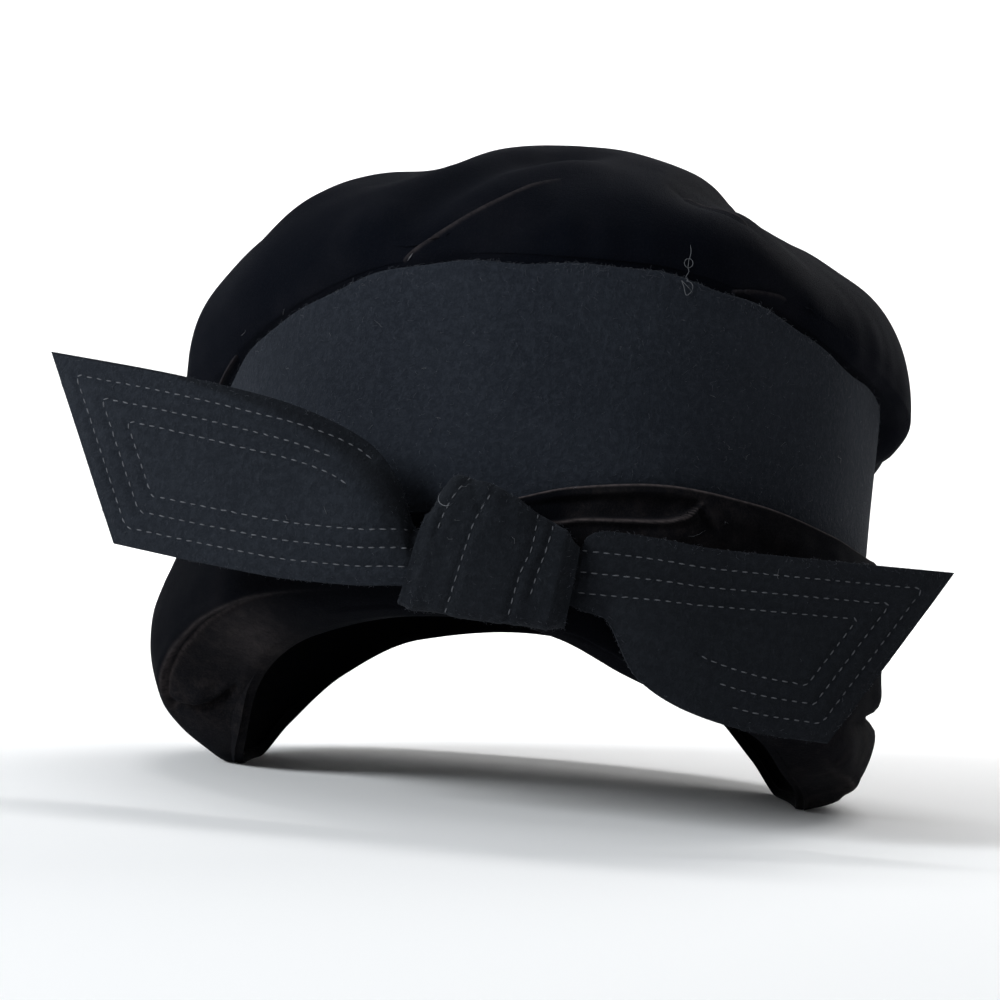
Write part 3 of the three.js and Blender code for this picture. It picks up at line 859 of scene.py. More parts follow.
# how far the heel of the turned edge stands off the lowest line, which is its inner toe
HEEL = Pattern("deg rise", (-180, 1.2), (-90, 1.3), (55, 1.5), (78, 2.9), (104, 2.8), (130, 1.5))


def smooth_curve(stations, places):
    """Points on a Catmull-Rom curve through stations, at places from 0 to 1 along it."""
    last = len(stations) - 1
    made = []
    for place in places:
        i = int(min(place * last, last - 1e-9))
        t = place * last - i
        p = [stations[max(i - 1, 0)], stations[i], stations[i + 1], stations[min(i + 2, last)]]
        v0, v1 = (p[2] - p[0]) * 0.5, (p[3] - p[1]) * 0.5
        made.append((2 * p[1] - 2 * p[2] + v0 + v1) * t ** 3
                    + (-3 * p[1] + 3 * p[2] - 2 * v0 - v1) * t ** 2 + v0 * t + p[1])
    return made


def band_places():
    """Shares of the outer path, closer together at the upper edge and at the lower fold."""
    density = lambda p: 1 + 2.2 * hump(p - 0.08, 0.16) + 2.4 * hump(p - 0.667, 0.08)
    fine = np.linspace(0, 1, 2000)
    reached = np.concatenate([[0], np.cumsum(density(fine)[1:])])
    return np.interp(np.linspace(0, 1, ROWS_OUT), reached / reached[-1], fine)


def band_rows(deg):
    """Rings of the band from its upper edge to the end of the inner flap."""
    column = {name: BAND.round(name, deg) for name in BAND.columns if name != "deg"}
    rim, flap = column["rim"], cuff_base(deg) + FLAP
    heel = rim + HEEL.round("rise", deg)
    spreads = [GAP + VELVET + column["stand"], column["bulge"], column["fold"], column["sole"]]
    heights = [column["top"], column["bulge_at"], column["fold_at"], heel]
    stations = [np.stack([CUFF[0] + spread, CUFF[1] + spread, height])
                for spread, height in zip(spreads, heights)]
    for oval, height in ((SOLE, rim), (OPENING, rim + BAND_TURN), (OPENING, flap)):
        stations.append(np.stack([oval[0] + 0 * rim, oval[1] + 0 * rim, height]))
    places = np.concatenate([band_places() * 3, 3 + np.linspace(0, 3, 25)[1:]]) / 6
    curve = smooth_curve(stations, places)
    return np.stack([on_ring((a, b), 0, deg, np.maximum(height, rim)) for a, b, height in curve])


def length_of(line):
    return float(np.linalg.norm(np.diff(line, axis=0), axis=1).sum())


print("length of the band's section in front, in mm:", round(length_of(band_rows(np.zeros(1))[:, 0]), 1))

# %% Tables of the band's folds
# level folds round the back: angle where each is strongest, its width in degrees, height, depth
BAND_FOLDS = (
    (-140, 34, 57, 2.2), (-128, 22, 34, 2.3), (-170, 50, 50, 1.9), (140, 46, 58, 2.3),
    (118, 30, 44, 2.0), (172, 40, 63, 1.5), (158, 36, 42, 1.9),
)
# the crisp fold at the lower left, where the velvet laps over its own turned facing
LEFT_LIP = Pattern(
    "deg z strength",
    (-180, -6, 0), (-100, -4, 0), (-87, 6, 0), (-81.3, 15.3, 0.7), (-78.3, 19.3, 1),
    (-75.3, 23.7, 1), (-71.5, 28.6, 1), (-65.3, 34.3, 1), (-58.8, 39.7, 1), (-52.5, 43.7, 0.9),
    (-47.3, 46.6, 0.65), (-38, 49.5, 0.1), (-28, 51, 0), (0, 50, 0), (120, 0, 0),
)
# the second fold inside the pocket at the right: x and height of its lip, and its strength
POCKET = Pattern(
    "x z strength",
    (-6, 70.5, 0), (2, 71.0, 0.6), (8, 72.2, 1), (18, 72.8, 1), (27, 73.3, 1),
    (32, 74.4, 1), (35.5, 76.8, 0.8), (37, 79.0, 0),
)
print("band: level folds", len(BAND_FOLDS))

# %% Folds of the band
def crease(x, z, ends, push, fade):
    """A push along a line seen from the front, fading in and out at its ends."""
    share, side = line_place(x, z, *ends)
    return push(side) * ease(share, fade[0], 0.3) * (1 - ease(share, 0.7, fade[1]))


def pocket_push(x, z, top, front):
    keys = POCKET.columns["x"]
    lip = fair(keys, POCKET.columns["z"], x)
    strength = fair(keys, POCKET.columns["strength"], x) * front
    over = z - lip
    hollow = ease(over, -0.1, 0.9) * (1 - ease(z - top, -2.6, -1.0))
    roll = 1.4 * hump(over + 0.6, 0.9) + 0.6 * hump(over + 4, 4)
    push = strength * (roll - 2.3 * hollow)
    # the pucker where the fold is tacked down, and the soft fold that runs from it to the right
    pucker = lambda side: -1.5 * hump(side, 1.1) + 0.7 * hump(side - 2.4, 1.6)
    soft_fold = lambda side: 0.9 * hump(side - 1.5, 2.4) - 0.8 * hump(side + 1.6, 1.8)
    push += front * crease(x, z, (34.5, 78.0, 40.5, 71.5), pucker, (-0.1, 1.2))
    push += front * crease(x, z, (46, 74.5, 62, 67.0), soft_fold, (-0.2, 1.3))
    return push


def band_push(grid, deg):
    x, z = grid[..., 0], grid[..., 2]
    push = np.zeros(x.shape)
    for middle, width, height, depth in BAND_FOLDS:
        away = (deg - middle + 180) % 360 - 180
        level = height + 3.0 * np.sin(np.radians(away) * 2.2 + middle)
        groove = -depth * hump(z - level, 2.2) + 0.55 * depth * hump(z - level - 5, 3.4)
        push += groove * hump(away, width)
    front = np.where(grid[..., 1] < -20, 1.0, 0.0)
    push += pocket_push(x, z, BAND.round("top", deg), front)
    # at the right the velvet is drawn in, and rolls out above and below the groove
    drawn = hump(deg - 86, 26)
    push += drawn * (-3.0 * hump(z - 25.7, 1.9) + 0.9 * hump(z - 31.5, 3.5) + 0.4 * hump(z - 18, 5))
    return push


pocket_place = np.array([[[18.0, -110.0, 72.0]]])
print("push at the pocket's fold, in mm:", band_push(pocket_place, np.array([9.0])).round(2))

# %% The lap at the lower left
def over_lip(z, deg):
    """Distance above the lip's line, measured square to it, since it runs steeply at the side."""
    climb = (LEFT_LIP.round("z", deg + 0.5) - LEFT_LIP.round("z", deg - 0.5)) / math.radians(100)
    return (z - LEFT_LIP.round("z", deg)) / np.sqrt(1 + climb ** 2)


def left_lip(grid, deg):
    """The lap's push outwards, and how much of the cloth there is facing that was turned under."""
    strength = LEFT_LIP.round("strength", deg)
    over = over_lip(grid[..., 2], deg)
    lap = 0.9 * hump(over - 1.2, 1.6) * ease(over, -0.45, 0.25)
    sunk = 1.3 * (1 - ease(over, -0.45, 0.25)) * (1 - ease(-over, 6, 14))
    return strength * (lap - sunk), strength * (1 - ease(over, -0.5, 0.1))


def crease_push(grid):
    """The tack at the lower left: a smiling crease with a small facet pinched up over it."""
    x, y, z = grid[..., 0], grid[..., 1], grid[..., 2]
    side = (y < -12) * (x < -60)
    smile = 14.2 + 0.05 * (x + 87) ** 2
    run = ease(x, -94, -90) * (1 - ease(x, -78, -73))
    facet = hump(x + 84, 3.2) * hump(z - smile - 4.2, 2.2)
    push = -2.2 * hump(z - smile, 1.0) * run + 1.2 * hump(z - smile - 2.2, 1.2) * run + 1.3 * facet
    return side * push


print("the lap's line at 70 degrees left, in mm:", LEFT_LIP.round("z", -70).round(1))

# %% Velvet band
def band_grid():
    """Rows of the band's outside, then of its inside, and its rounded upper edge."""
    deg = turn_degrees(360, 180)
    outer = band_rows(deg)
    normal = outward(outer, False)
    rows = len(outer)
    place = np.concatenate([band_places(), np.linspace(1, 1.3, rows - ROWS_OUT)])[:, None]
    free = ease(place, 0.02, 0.07) * (1 - ease(place, 0.9, 1.0))
    turned_free = 1 - ease(place, 1.0, 1.05)
    lip, _ = left_lip(outer, deg)
    push = band_push(outer, deg) * free + (lip + crease_push(outer)) * turned_free
    soft = 1 - 0.75 * hump(deg + 80, 35)
    push += (0.45 * ripple(outer, 26, 21) + 0.16 * ripple(outer, 9, 22)) * free * soft
    moved = outer + normal * push[..., None]
    moved[..., 2] = np.maximum(moved[..., 2], 0)
    keep = np.unique(np.concatenate([np.arange(0, rows, 3), [rows - 1]]))
    inner = (moved - VELVET * outward(moved, False))[keep][::-1]
    inner[..., 2] = np.maximum(inner[..., 2], 0.2)
    edge = [moved[:1] - normal[:1] * VELVET * part + np.array([0, 0, rise])
            for part, rise in ((0.82, 0.45), (0.5, 0.7), (0.18, 0.45))]
    return np.concatenate([moved, inner, *edge])


def paint_band_underside_and_light(band):
    """Where the underside colour goes, with painted light in the pocket and a painted highlight on the
    facing, and where edges get a painted highlight.
    """
    places = points_of(band)
    x, y, z = places.T
    angle = np.degrees(np.arctan2(x, -(y - LEAN * (z - LEAN_LEVEL)) * CUFF[0] / CUFF[1]))
    _, turned = left_lip(places, angle)
    # a painted highlight patch on the turned facing at the left
    rubbed_and_highlight = hump(np.hypot(x + 69, (z - 36) * 1.3), 8) * turned
    # painted light in the shadowed pocket at the right, given the underside colour
    pocket = ease(x, 2, 8) * (1 - ease(x, 45, 80)) * (y < -50) * ease(z, 60, 66)
    rolled = 0.9 * hump(angle - 82, 30) * (1 - ease(z, 24, 34))
    set_shares(band, "underside_and_painted_light", turned * 0.7 + rubbed_and_highlight * 0.5 + pocket * 0.55 + rolled)
    # painted highlights along the pocket's second fold, the band's upper edge, the lap's line and the
    # heel, and a little on the facing's patch
    keys = POCKET.columns["x"]
    fold_z = fair(keys, POCKET.columns["z"], x)
    second = fair(keys, POCKET.columns["strength"], x) * (y < -60) * hump(z - fold_z + 0.25, 0.32)
    upper = (angle > -12) * (1 - ease(angle, 66, 80)) * hump(z - BAND.round("top", angle) - 0.45, 0.3)
    lap_line = LEFT_LIP.round("strength", angle) * hump(over_lip(z, angle) - 0.1, 0.4)
    heel_at = BAND.round("rim", angle) + HEEL.round("rise", angle) + 1.2
    heel = hump(angle - 80, 12) * hump(z - heel_at, 0.5)
    worn = 0.6 * second + 0.8 * upper + 0.3 * lap_line + 0.16 * rubbed_and_highlight + 0.3 * heel
    set_shares(band, "painted_fold_highlight", worn)


velvet_band = sheet_of("velvet_band_cloth", band_grid(), brown_velvet, True, 75)
paint_band_underside_and_light(velvet_band)
finish_piece(velvet_band, "velvet_band")

# %% [markdown]
# ## The bow
# Each tail is two layers of felt stitched together, pinched where it enters the knot. It is
# a strip between an upper and a lower edge, with three stitched rows that run along both
# edges and across the slanted end, and every row pulls the felt into a shallow groove.

# %% Tables of the bow
STRIP = 2.8
BOW_FRONT, BOW_MIDDLE, BOW_FLAT, BOW_CURVE = -110.3, -12, 22, 0.0038
LEFT_TAIL = Pattern(
    "top_x top_z low_x low_z roll",
    (-13, 67, -13, 53, 0), (-28.6, 66.2, -28.6, 53.6, 0.2), (-34, 76.0, -33, 53.8, 1),
    (-41, 84.6, -44, 53.1, 1), (-59.5, 92.7, -58, 53.3, 0.35), (-88, 97.9, -78, 55.2, 0),
    (-120.5, 101.7, -100.8, 57.9, 0),
)
RIGHT_TAIL = Pattern(
    "top_x top_z low_x low_z roll",
    (-12, 63.5, -12, 53, 0), (8.3, 64.6, 7.7, 52.2, 0), (9.7, 67.8, 9.2, 51.5, 0),
    (15, 69.5, 15, 50, 0.3), (27, 68.7, 23.5, 37, 0.6), (40, 67.3, 36, 30, 0.3),
    (66, 66.6, 53, 26, 0), (98.8, 65.9, 70, 24.4, 0),
)
ROW_INSETS = (4.2, 8.5, 12.7)
STITCH_PITCH = 2.5
OUTLINE_STEPS = 320


def bow_depth(x):
    beyond = np.maximum(0, np.abs(x - BOW_MIDDLE) - BOW_FLAT)
    return BOW_FRONT + BOW_CURVE * beyond ** 2


print("how far back the bow's ends lie, in mm:", bow_depth(np.array([-120.5, 98.8])).round(1))

# %% [markdown]
# ### Rows of stitches
# A row follows the tail's outline at a fixed distance: along the upper edge, down the slanted
# end and back along the lower edge. So a row is the outline moved inwards, and where the
# moved outline comes too near to another edge it is left out, which makes clean corners.

# %% Outline and rows of a tail
def tail_outline(tail, count=160):
    run = np.linspace(0, 1, count)
    top = np.stack([tail.along("top_x", run), tail.along("top_z", run)], -1)
    low = np.stack([tail.along("low_x", run), tail.along("low_z", run)], -1)
    end = top[-1] + (low[-1] - top[-1]) * np.linspace(0, 1, 60)[:, None]
    return np.concatenate([top, end[1:-1], low[::-1]])


def line_distance(points, line):
    """Distance of each point to a line of many short pieces, seen from the front."""
    start, way = line[:-1], np.diff(line, axis=0)
    length = np.maximum((way ** 2).sum(-1), 1e-9)
    flat = points.reshape(-1, 2)
    made = np.empty(len(flat))
    for first in range(0, len(flat), 4000):
        part = flat[first:first + 4000, None] - start
        share = np.clip((part * way).sum(-1) / length, 0, 1)
        made[first:first + 4000] = np.sqrt(((part - share[..., None] * way) ** 2).sum(-1).min(1))
    return made.reshape(points.shape[:-1])


def moved_edge(edge, middle, depth):
    """An edge moved towards the middle of the tail."""
    way = np.gradient(edge, axis=0)
    way /= np.linalg.norm(way, axis=-1, keepdims=True)
    inner = np.stack([way[:, 1], -way[:, 0]], -1)
    if ((middle - edge[len(edge) // 2]) * inner[len(edge) // 2]).sum() < 0:
        inner = -inner
    return edge + inner * np.reshape(depth, (-1, 1))


def stitched_row(tail, inset, upper_from, lower_from, near, level_from):
    """One row: upper edge, slanted end, lower edge. It begins and ends so far from the knot.

    Close to the knot the inset is taken times near, and the row goes straight on."""
    outline = tail_outline(tail, OUTLINE_STEPS)
    top, low = outline[:OUTLINE_STEPS], outline[-OUTLINE_STEPS:]
    end = outline[OUTLINE_STEPS - 1:1 - OUTLINE_STEPS]
    first = np.argmax(np.abs(top[:, 0] - BOW_MIDDLE) > level_from)
    straight = top[first] + (top[first] - top[first + 12]) * np.linspace(6, 0, 90)[:, None]
    top = np.concatenate([straight, top[first + 1:]])
    half = OUTLINE_STEPS // 2
    middle = end.mean(0) * 0.4 + outline[half] * 0.3 + outline[-half] * 0.3
    reach = lambda points: np.abs(points[:, 0] - BOW_MIDDLE)
    depth = inset * (near + (1 - near) * ease(reach(top), 24, 60))
    upper = moved_edge(top, middle, depth)
    upper = upper[(line_distance(upper, end) > inset) & (reach(upper) > upper_from)]
    across = moved_edge(end, middle, inset)
    across = across[(line_distance(across, top) > inset) & (line_distance(across, low) > inset)]
    lower = moved_edge(low, middle, inset)
    lower = lower[(line_distance(lower, end) > inset) & (reach(lower) > lower_from)]
    return np.concatenate([upper, across, lower])


def tail_relief(grid_xz, tail, rows):
    """How far the felt stands forward of the strip's middle: grooves at the rows, soft edges."""
    relief = 0.45 * ease(line_distance(grid_xz, tail_outline(tail)), 0, 2.2)
    for row in rows:
        away = line_distance(grid_xz, row)
        relief -= 0.34 * hump(away, 0.7) - 0.1 * hump(away - 1.9, 1.0)
    return relief


print("round the left tail, in mm:", round(length_of(tail_outline(LEFT_TAIL))))

# %% Tails
def tail_point(tail, run, across):
    """Middle of the strip: run 0 is inside the knot, 1 the end; across 0 is the upper edge."""
    x = tail.along("top_x", run) * (1 - across) + tail.along("low_x", run) * across
    z = tail.along("top_z", run) * (1 - across) + tail.along("low_z", run) * across
    return np.stack([x, bow_depth(x), z], -1)


def make_tail(name, tail, rows, curl, material):
    runs = np.linspace(0, 1, 230) ** 0.9
    shares = np.linspace(0, 1, 92)
    run, across = np.meshgrid(runs, shares, indexing="ij")
    middle = tail_point(tail, run, across)
    relief = tail_relief(middle[..., [0, 2]], tail, rows) * ease(run, 0.1, 0.2)
    roll = tail.along("roll", run)
    swing = curl(run, across, roll)
    waver = 0.3 * ripple(middle, 34, 31) * ease(run, 0.25, 0.5)
    level = swing + waver
    front = middle + np.stack([0 * run, -STRIP / 2 - relief + level, 0 * run], -1)
    back = middle + np.stack([0 * run, STRIP / 2 + 0.5 * relief + level, 0 * run], -1)
    inset = 0.3
    rim_low = (front[:, -1] + back[:, -1]) / 2
    rim_top = (front[:, 0] + back[:, 0]) / 2
    down = front[:, -1] - front[:, -2]
    down /= np.linalg.norm(down, axis=-1, keepdims=True)
    low_edge = [front[:, -1] * 0.8 + rim_low * 0.2 + down * inset, rim_low + down * 0.02,
                back[:, -1] * 0.8 + rim_low * 0.2 + down * inset]
    top_edge = [back[:, 0] * 0.8 + rim_top * 0.2 - down * inset, rim_top - down * 0.02,
                front[:, 0] * 0.8 + rim_top * 0.2 - down * inset]
    back = back[:, ::-1]
    ring = np.concatenate([front, np.stack(low_edge, 1), back, np.stack(top_edge, 1)], 1)
    return sheet_of(name, closed_ends(ring), material, False, 40)


def left_curl(run, across, roll):
    """The upper edge rolls back as it dives into the knot."""
    return roll * (6.5 * (1 - ease(across, 0.0, 0.36)) - 1.6 * hump(across - 0.5, 0.18))


def right_curl(run, across, roll):
    """The lower part falls back where the strip opens below the knot."""
    return roll * (3.2 * ease(across, 0.55, 1.0) - 1.0 * hump(across - 0.35, 0.25))


LEFT_UPPER_STARTS, LEFT_LOWER_START, LEFT_NEAR = (29, 38, 34), 17, (0.5, 0.8, 0.8)
RIGHT_UPPER_START, RIGHT_LOWER_STARTS, RIGHT_NEAR = 20, (58, 53, 49), 1.14
left_rows = [stitched_row(LEFT_TAIL, inset, start, LEFT_LOWER_START, near, 28)
             for inset, start, near in zip(ROW_INSETS, LEFT_UPPER_STARTS, LEFT_NEAR)]
right_rows = [stitched_row(RIGHT_TAIL, inset, RIGHT_UPPER_START, start, RIGHT_NEAR, 27)
              for inset, start in zip(ROW_INSETS, RIGHT_LOWER_STARTS)]
print("stitched rows in mm:", [round(length_of(row)) for row in left_rows + right_rows])
left_tail = make_tail("bow_left_tail_cloth", LEFT_TAIL, left_rows, left_curl, felt_bow)
right_tail = make_tail("bow_right_tail_cloth", RIGHT_TAIL, right_rows, right_curl, felt_bow)
# painted shade: the left tail is darker where it rolls back, and the right tail all over
places = points_of(left_tail)
edge_distance = line_distance(places[:, [0, 2]], tail_outline(LEFT_TAIL)[:160])
reach = np.abs(places[:, 0] - BOW_MIDDLE)
rolled_width = np.interp(reach, [16, 30, 45, 62, 80], [9, 7.5, 4.5, 2.5, 0.1])
set_shares(left_tail, "painted_shade", 0.9 * (1 - ease(edge_distance / rolled_width, 0.5, 1.15)))
set_shares(right_tail, "painted_shade", np.ones(len(right_tail.data.vertices)))
finish_piece(left_tail, "bow_left_tail")
finish_piece(right_tail, "bow_right_tail")

# %% [markdown]
# ## The knot
# The knot is the same stitched strip, wrapped tightly once round the tails, so it is drawn
# together at the top and its rows of stitches lean with it. It is a loop that stays open at
# both ends, and the felt at the top is crumpled into two small folds.

# %% Knot
KNOT = Pattern(
    "top_x top_z low_x low_z front",
    (-28, 72, -32.3, 48, 6.6), (-20, 80, -25, 48.1, 7.6), (-9, 76.2, -13, 47.5, 8.2),
    (1, 71, -3, 46.6, 7.6), (8.2, 67.4, 5.8, 45.6, 6.6),
)
KNOT_BACK = -105.75
KNOT_THICK = 2.4
INNER_CORNER, OUTER_CORNER = 0.5, 0.56
# rows of stitches on the knot's front: the corners of each row seen from the front, x and z
KNOT_ROWS = (
    ((-13.0, 76.5), (-16.4, 69.5), (-17.6, 65.0), (-21.6, 47.6)),
    ((-17.7, 80.0), (-21.0, 76.0), (-23.4, 71.0), (-25.2, 65.0)),
    ((-2.0, 73.0), (-2.7, 65.6), (-5.1, 58.6), (-6.8, 50.3), (-7.3, 46.8)),
    ((1.8, 70.6), (0.4, 64.5), (-1.2, 58.9), (-2.6, 53.0)),
)


def knot_point(share, angle, thickness, corner):
    """A point of the loop: share 0 is the left edge, angle 0 the front and 90 the top."""
    up = np.sign(np.sin(angle)) * np.abs(np.sin(angle)) ** corner
    out = np.sign(np.cos(angle)) * np.abs(np.cos(angle)) ** corner
    top_z, low_z = KNOT.along("top_z", share), KNOT.along("low_z", share)
    half = (top_z - low_z) / 2 - thickness
    down = 0.5 - up / 2
    x = KNOT.along("top_x", share) * (1 - down) + KNOT.along("low_x", share) * down
    back = KNOT_BACK - thickness
    front = BOW_FRONT - KNOT.along("front", share) + thickness
    y = (front + back) / 2 - out * (back - front) / 2
    return np.stack([x, y, (top_z + low_z) / 2 + up * half], -1)


def fine_line(corners, step=0.4):
    corners = np.array(corners, float)
    lengths = np.concatenate([[0], np.cumsum(np.linalg.norm(np.diff(corners, axis=0), axis=1))])
    places = np.arange(0, lengths[-1], step)
    return np.stack([fair(lengths, corners[:, i], places) for i in (0, 1)], -1)


def knot_relief(grid, share, angle):
    seen = ease(np.cos(angle), 0.0, 0.35)
    relief = 1.3 * ease(np.minimum(share, 1 - share), 0, 0.13) - 1.3
    for row in KNOT_ROWS:
        away = line_distance(grid[..., [0, 2]], fine_line(row))
        relief = relief - seen * (0.3 * hump(away, 0.9) - 0.1 * hump(away - 2.2, 1.3))
    # the strip swells between its rows, and two crumpled folds come down from the top
    relief = relief + seen * (1.3 * hump(share - 0.5, 0.2) + 0.7 * hump(share - 0.88, 0.06) - 0.3)
    top = ease(grid[..., 2], 62, 79) * ease(np.cos(angle), -0.4, 0.2)
    for x1, x2, depth in ((-17.5, -13.5, 0.5), (-9.5, -9.0, 0.3), (-24.5, -24.0, 0.4)):
        beside = grid[..., 0] - (x1 + (x2 - x1) * (80 - grid[..., 2]) / 14)
        relief = relief - depth * top * hump(beside, 1.3) + 0.5 * depth * top * hump(beside - 2.4, 1.6)
    return relief


def make_knot():
    shares = np.linspace(0, 1, 120)
    angles = np.linspace(0, 2 * math.pi, 190, endpoint=False)
    angles = angles - 0.35 * np.sin(2 * angles) * 0.5
    share, angle = np.meshgrid(shares, angles, indexing="ij")
    outer = knot_point(share, angle, 0, OUTER_CORNER)
    normal = outward(outer, False)
    toward = knot_point(share, angle, 1.0, OUTER_CORNER) - outer
    normal = np.where((np.sum(normal * toward, -1) > 0)[..., None], -normal, normal)
    relief = knot_relief(outer, share, angle) + 0.22 * ripple(outer, 10, 41)
    outside = outer + normal * relief[..., None]
    outside[..., 1] = np.minimum(outside[..., 1], KNOT_BACK + 0.15)
    inner_shares = np.linspace(1, 0, 24)
    share, angle = np.meshgrid(inner_shares, angles, indexing="ij")
    inside = knot_point(share, angle, KNOT_THICK, INNER_CORNER)
    middle_right = (outside[-1] + inside[0]) / 2 + np.array([0.3, 0, 0])
    middle_left = (outside[0] + inside[-1]) / 2 - np.array([0.3, 0, 0])
    grid = np.concatenate([outside, middle_right[None], inside, middle_left[None]])
    knot = sheet_of("bow_knot_cloth", grid, felt_bow, True, 60)
    # painted shade over the whole knot
    set_shares(knot, "painted_shade", np.full(len(knot.data.vertices), 0.9))
    return knot


bow_knot = finish_piece(make_knot(), "bow_knot")

# %% [markdown]
# ## Topstitching
# One stitch is a short rounded pin of thread. It is modelled once, and then laid along every
# row on the front and the back of each tail and on the front of the knot, turned to follow
# the row and the felt, sunk a little at both ends as a pulled thread is.

# %% One stitch
bpy.ops.object.select_all(action="DESELECT")
bpy.ops.mesh.primitive_uv_sphere_add(segments=6, ring_count=5, radius=1, location=(0, 0, 0))
pattern_stitch = bpy.context.object
STITCH_POINTS = np.array([v.co for v in pattern_stitch.data.vertices])[:, [2, 0, 1]]
STITCH_FACES = [tuple(p.vertices) for p in pattern_stitch.data.polygons]
bpy.data.objects.remove(pattern_stitch, do_unlink=True)
STITCH_SIZE = np.array([0.78, 0.165, 0.14])
print("faces of a stitch:", len(STITCH_FACES))


# %% Laying copies along rows
def places_along(row, pitch):
    lengths = np.concatenate([[0], np.cumsum(np.linalg.norm(np.diff(row, axis=0), axis=1))])
    at = np.arange(pitch / 2, lengths[-1] - pitch / 3, pitch)
    return np.stack([np.interp(at, lengths, row[:, i]) for i in (0, 1)], -1)


def joined_mesh(name, copies, faces, material):
    """One mesh of many copies of a small shape, given as points in mm."""
    count = len(copies[0])
    points = np.concatenate(copies)
    every = [tuple(v + i * count for v in face) for i in range(len(copies)) for face in faces]
    mesh = bpy.data.meshes.new(name)
    mesh.from_pydata(to_frame(points).tolist(), [], every)
    mesh.materials.append(material)
    mesh.polygons.foreach_set("use_smooth", [True] * len(mesh.polygons))
    piece = bpy.data.objects.new(name, mesh)
    bpy.context.scene.collection.objects.link(piece)
    print(name, "copies:", len(copies), "faces:", len(mesh.polygons))
    return piece


def stitches_on(skin, rows, seed, ways=(1, -1)):
    """Copies of the stitch on the front and the back of a piece, each a little different."""
    draw = np.random.default_rng(seed)
    copies = []
    for row in rows:
        places = places_along(row, STITCH_PITCH)
        for way in ways:
            found = [skin.meet(x, z, way) for x, z in places]
            for i, (place, normal) in enumerate(found):
                after = found[min(i + 1, len(found) - 1)][0]
                before = found[max(i - 1, 0)][0]
                if place is None or after is None or before is None:
                    continue
                along = after - before
                reach = np.linalg.norm(along)
                if reach < 0.5 or reach > 9:
                    continue
                along = along / reach
                side = np.cross(normal, along)
                side /= np.linalg.norm(side)
                lean = draw.normal(0, 0.06)
                along = along * math.cos(lean) + side * math.sin(lean)
                side = np.cross(normal, along)
                size = STITCH_SIZE * draw.uniform(0.88, 1.1, 3)
                local = STITCH_POINTS * size
                sink = -0.12 * (local[:, :1] / size[0]) ** 2 + 0.07
                lying = place + local[:, :1] * along + local[:, 1:2] * side
                copies.append(lying + (local[:, 2:] + sink) * normal)
    return copies


left_skin, right_skin, knot_skin = Skin(left_tail), Skin(right_tail), Skin(bow_knot)
knot_rows = [fine_line(row) for row in KNOT_ROWS]
stitched = (
    ("left_tail_stitches", stitches_on(left_skin, left_rows, 1), stitch_thread),
    ("right_tail_stitches", stitches_on(right_skin, right_rows, 2), shaded_thread),
    ("knot_stitches", stitches_on(knot_skin, knot_rows, 3, (1,)), shaded_thread),
)
for name, copies, material in stitched:
    finish_piece(joined_mesh(name, copies, STITCH_FACES, material), None)

# %% [markdown]
# ## Wool hairs, lint and a loose tacking thread
# Felt sheds: short hairs stand out along its cut edges and lie on its face, and a few specks
# of lint cling to it. A hair is a bent three-sided tube of two lengths. A tacking thread was
# left in at the right of the cuff's edge, a thread end sticks out beside the knot, and a
# short one shows where the long pleat starts.

# %% One hair
def tube_faces(rings, sides):
    """Faces of a tube of so many rings, closed at both ends."""
    faces = []
    for first in range(0, (rings - 1) * sides, sides):
        for i in range(sides):
            after = (i + 1) % sides
            faces.append((first + i, first + after, first + sides + after, first + sides + i))
    last = (rings - 1) * sides
    return faces + [tuple(range(sides))[::-1], tuple(last + i for i in range(sides))]


HAIR_FACES = tube_faces(3, 3)
HAIR_RADIUS = 0.022
print("faces of a hair:", len(HAIR_FACES))


def hair(root, way, normal, length, radius, lift):
    """Points of one hair from its root, bending over to the felt again."""
    side = np.cross(way, normal)
    spine = [root - 0.1 * normal, root + way * length * 0.5 + normal * lift,
             root + way * length + normal * lift * 0.4]
    rings = []
    for at, thick in zip(spine, (radius, radius, radius * 0.6)):
        rings += [at + thick * (math.cos(a) * side + math.sin(a) * normal) for a in (0.0, 2.1, 4.2)]
    return np.array(rings)


# %% Hairs rooted at random
def faces_of(piece):
    mesh = piece.data
    count = len(mesh.polygons)
    centre, normal, area = np.empty(count * 3), np.empty(count * 3), np.empty(count)
    mesh.polygons.foreach_get("center", centre)
    mesh.polygons.foreach_get("normal", normal)
    mesh.polygons.foreach_get("area", area)
    return centre.reshape(-1, 3) * 1000 - HAT_MIDDLE, normal.reshape(-1, 3), area


def hairs_on(piece, weight, count, lengths, radius, upright, seed):
    """Hairs rooted at random on a piece, more of them where the weight is high."""
    draw = np.random.default_rng(seed)
    centre, normal, area = faces_of(piece)
    chance = area * weight(centre, normal)
    chosen = draw.choice(len(centre), count, p=chance / chance.sum())
    copies = []
    for index in chosen:
        n = normal[index]
        way = np.cross(n, draw.normal(size=3))
        way = way / np.linalg.norm(way) + n * upright * draw.uniform(0, 1)
        way /= np.linalg.norm(way)
        length = draw.uniform(*lengths)
        copies.append(hair(centre[index], way, n, length, radius, length * draw.uniform(0.08, 0.3)))
    return copies


def near_outline(tail):
    outline = tail_outline(tail)
    return lambda centre, normal: 0.15 + 6 * hump(line_distance(centre[:, [0, 2]], outline), 0.9)


def near_cuff_edge(centre, normal):
    x, y, z = centre.T
    deg = np.degrees(np.arctan2(x / CUFF[0], -(y - LEAN * (z - LEAN_LEVEL)) / CUFF[1]))
    outer = (normal * centre * [1, 1, 0]).sum(-1) > 0
    return outer * (0.4 + 5 * hump(z - FELT_EDGE.round("top", deg), 1.2)) * (1 + (y < -20))


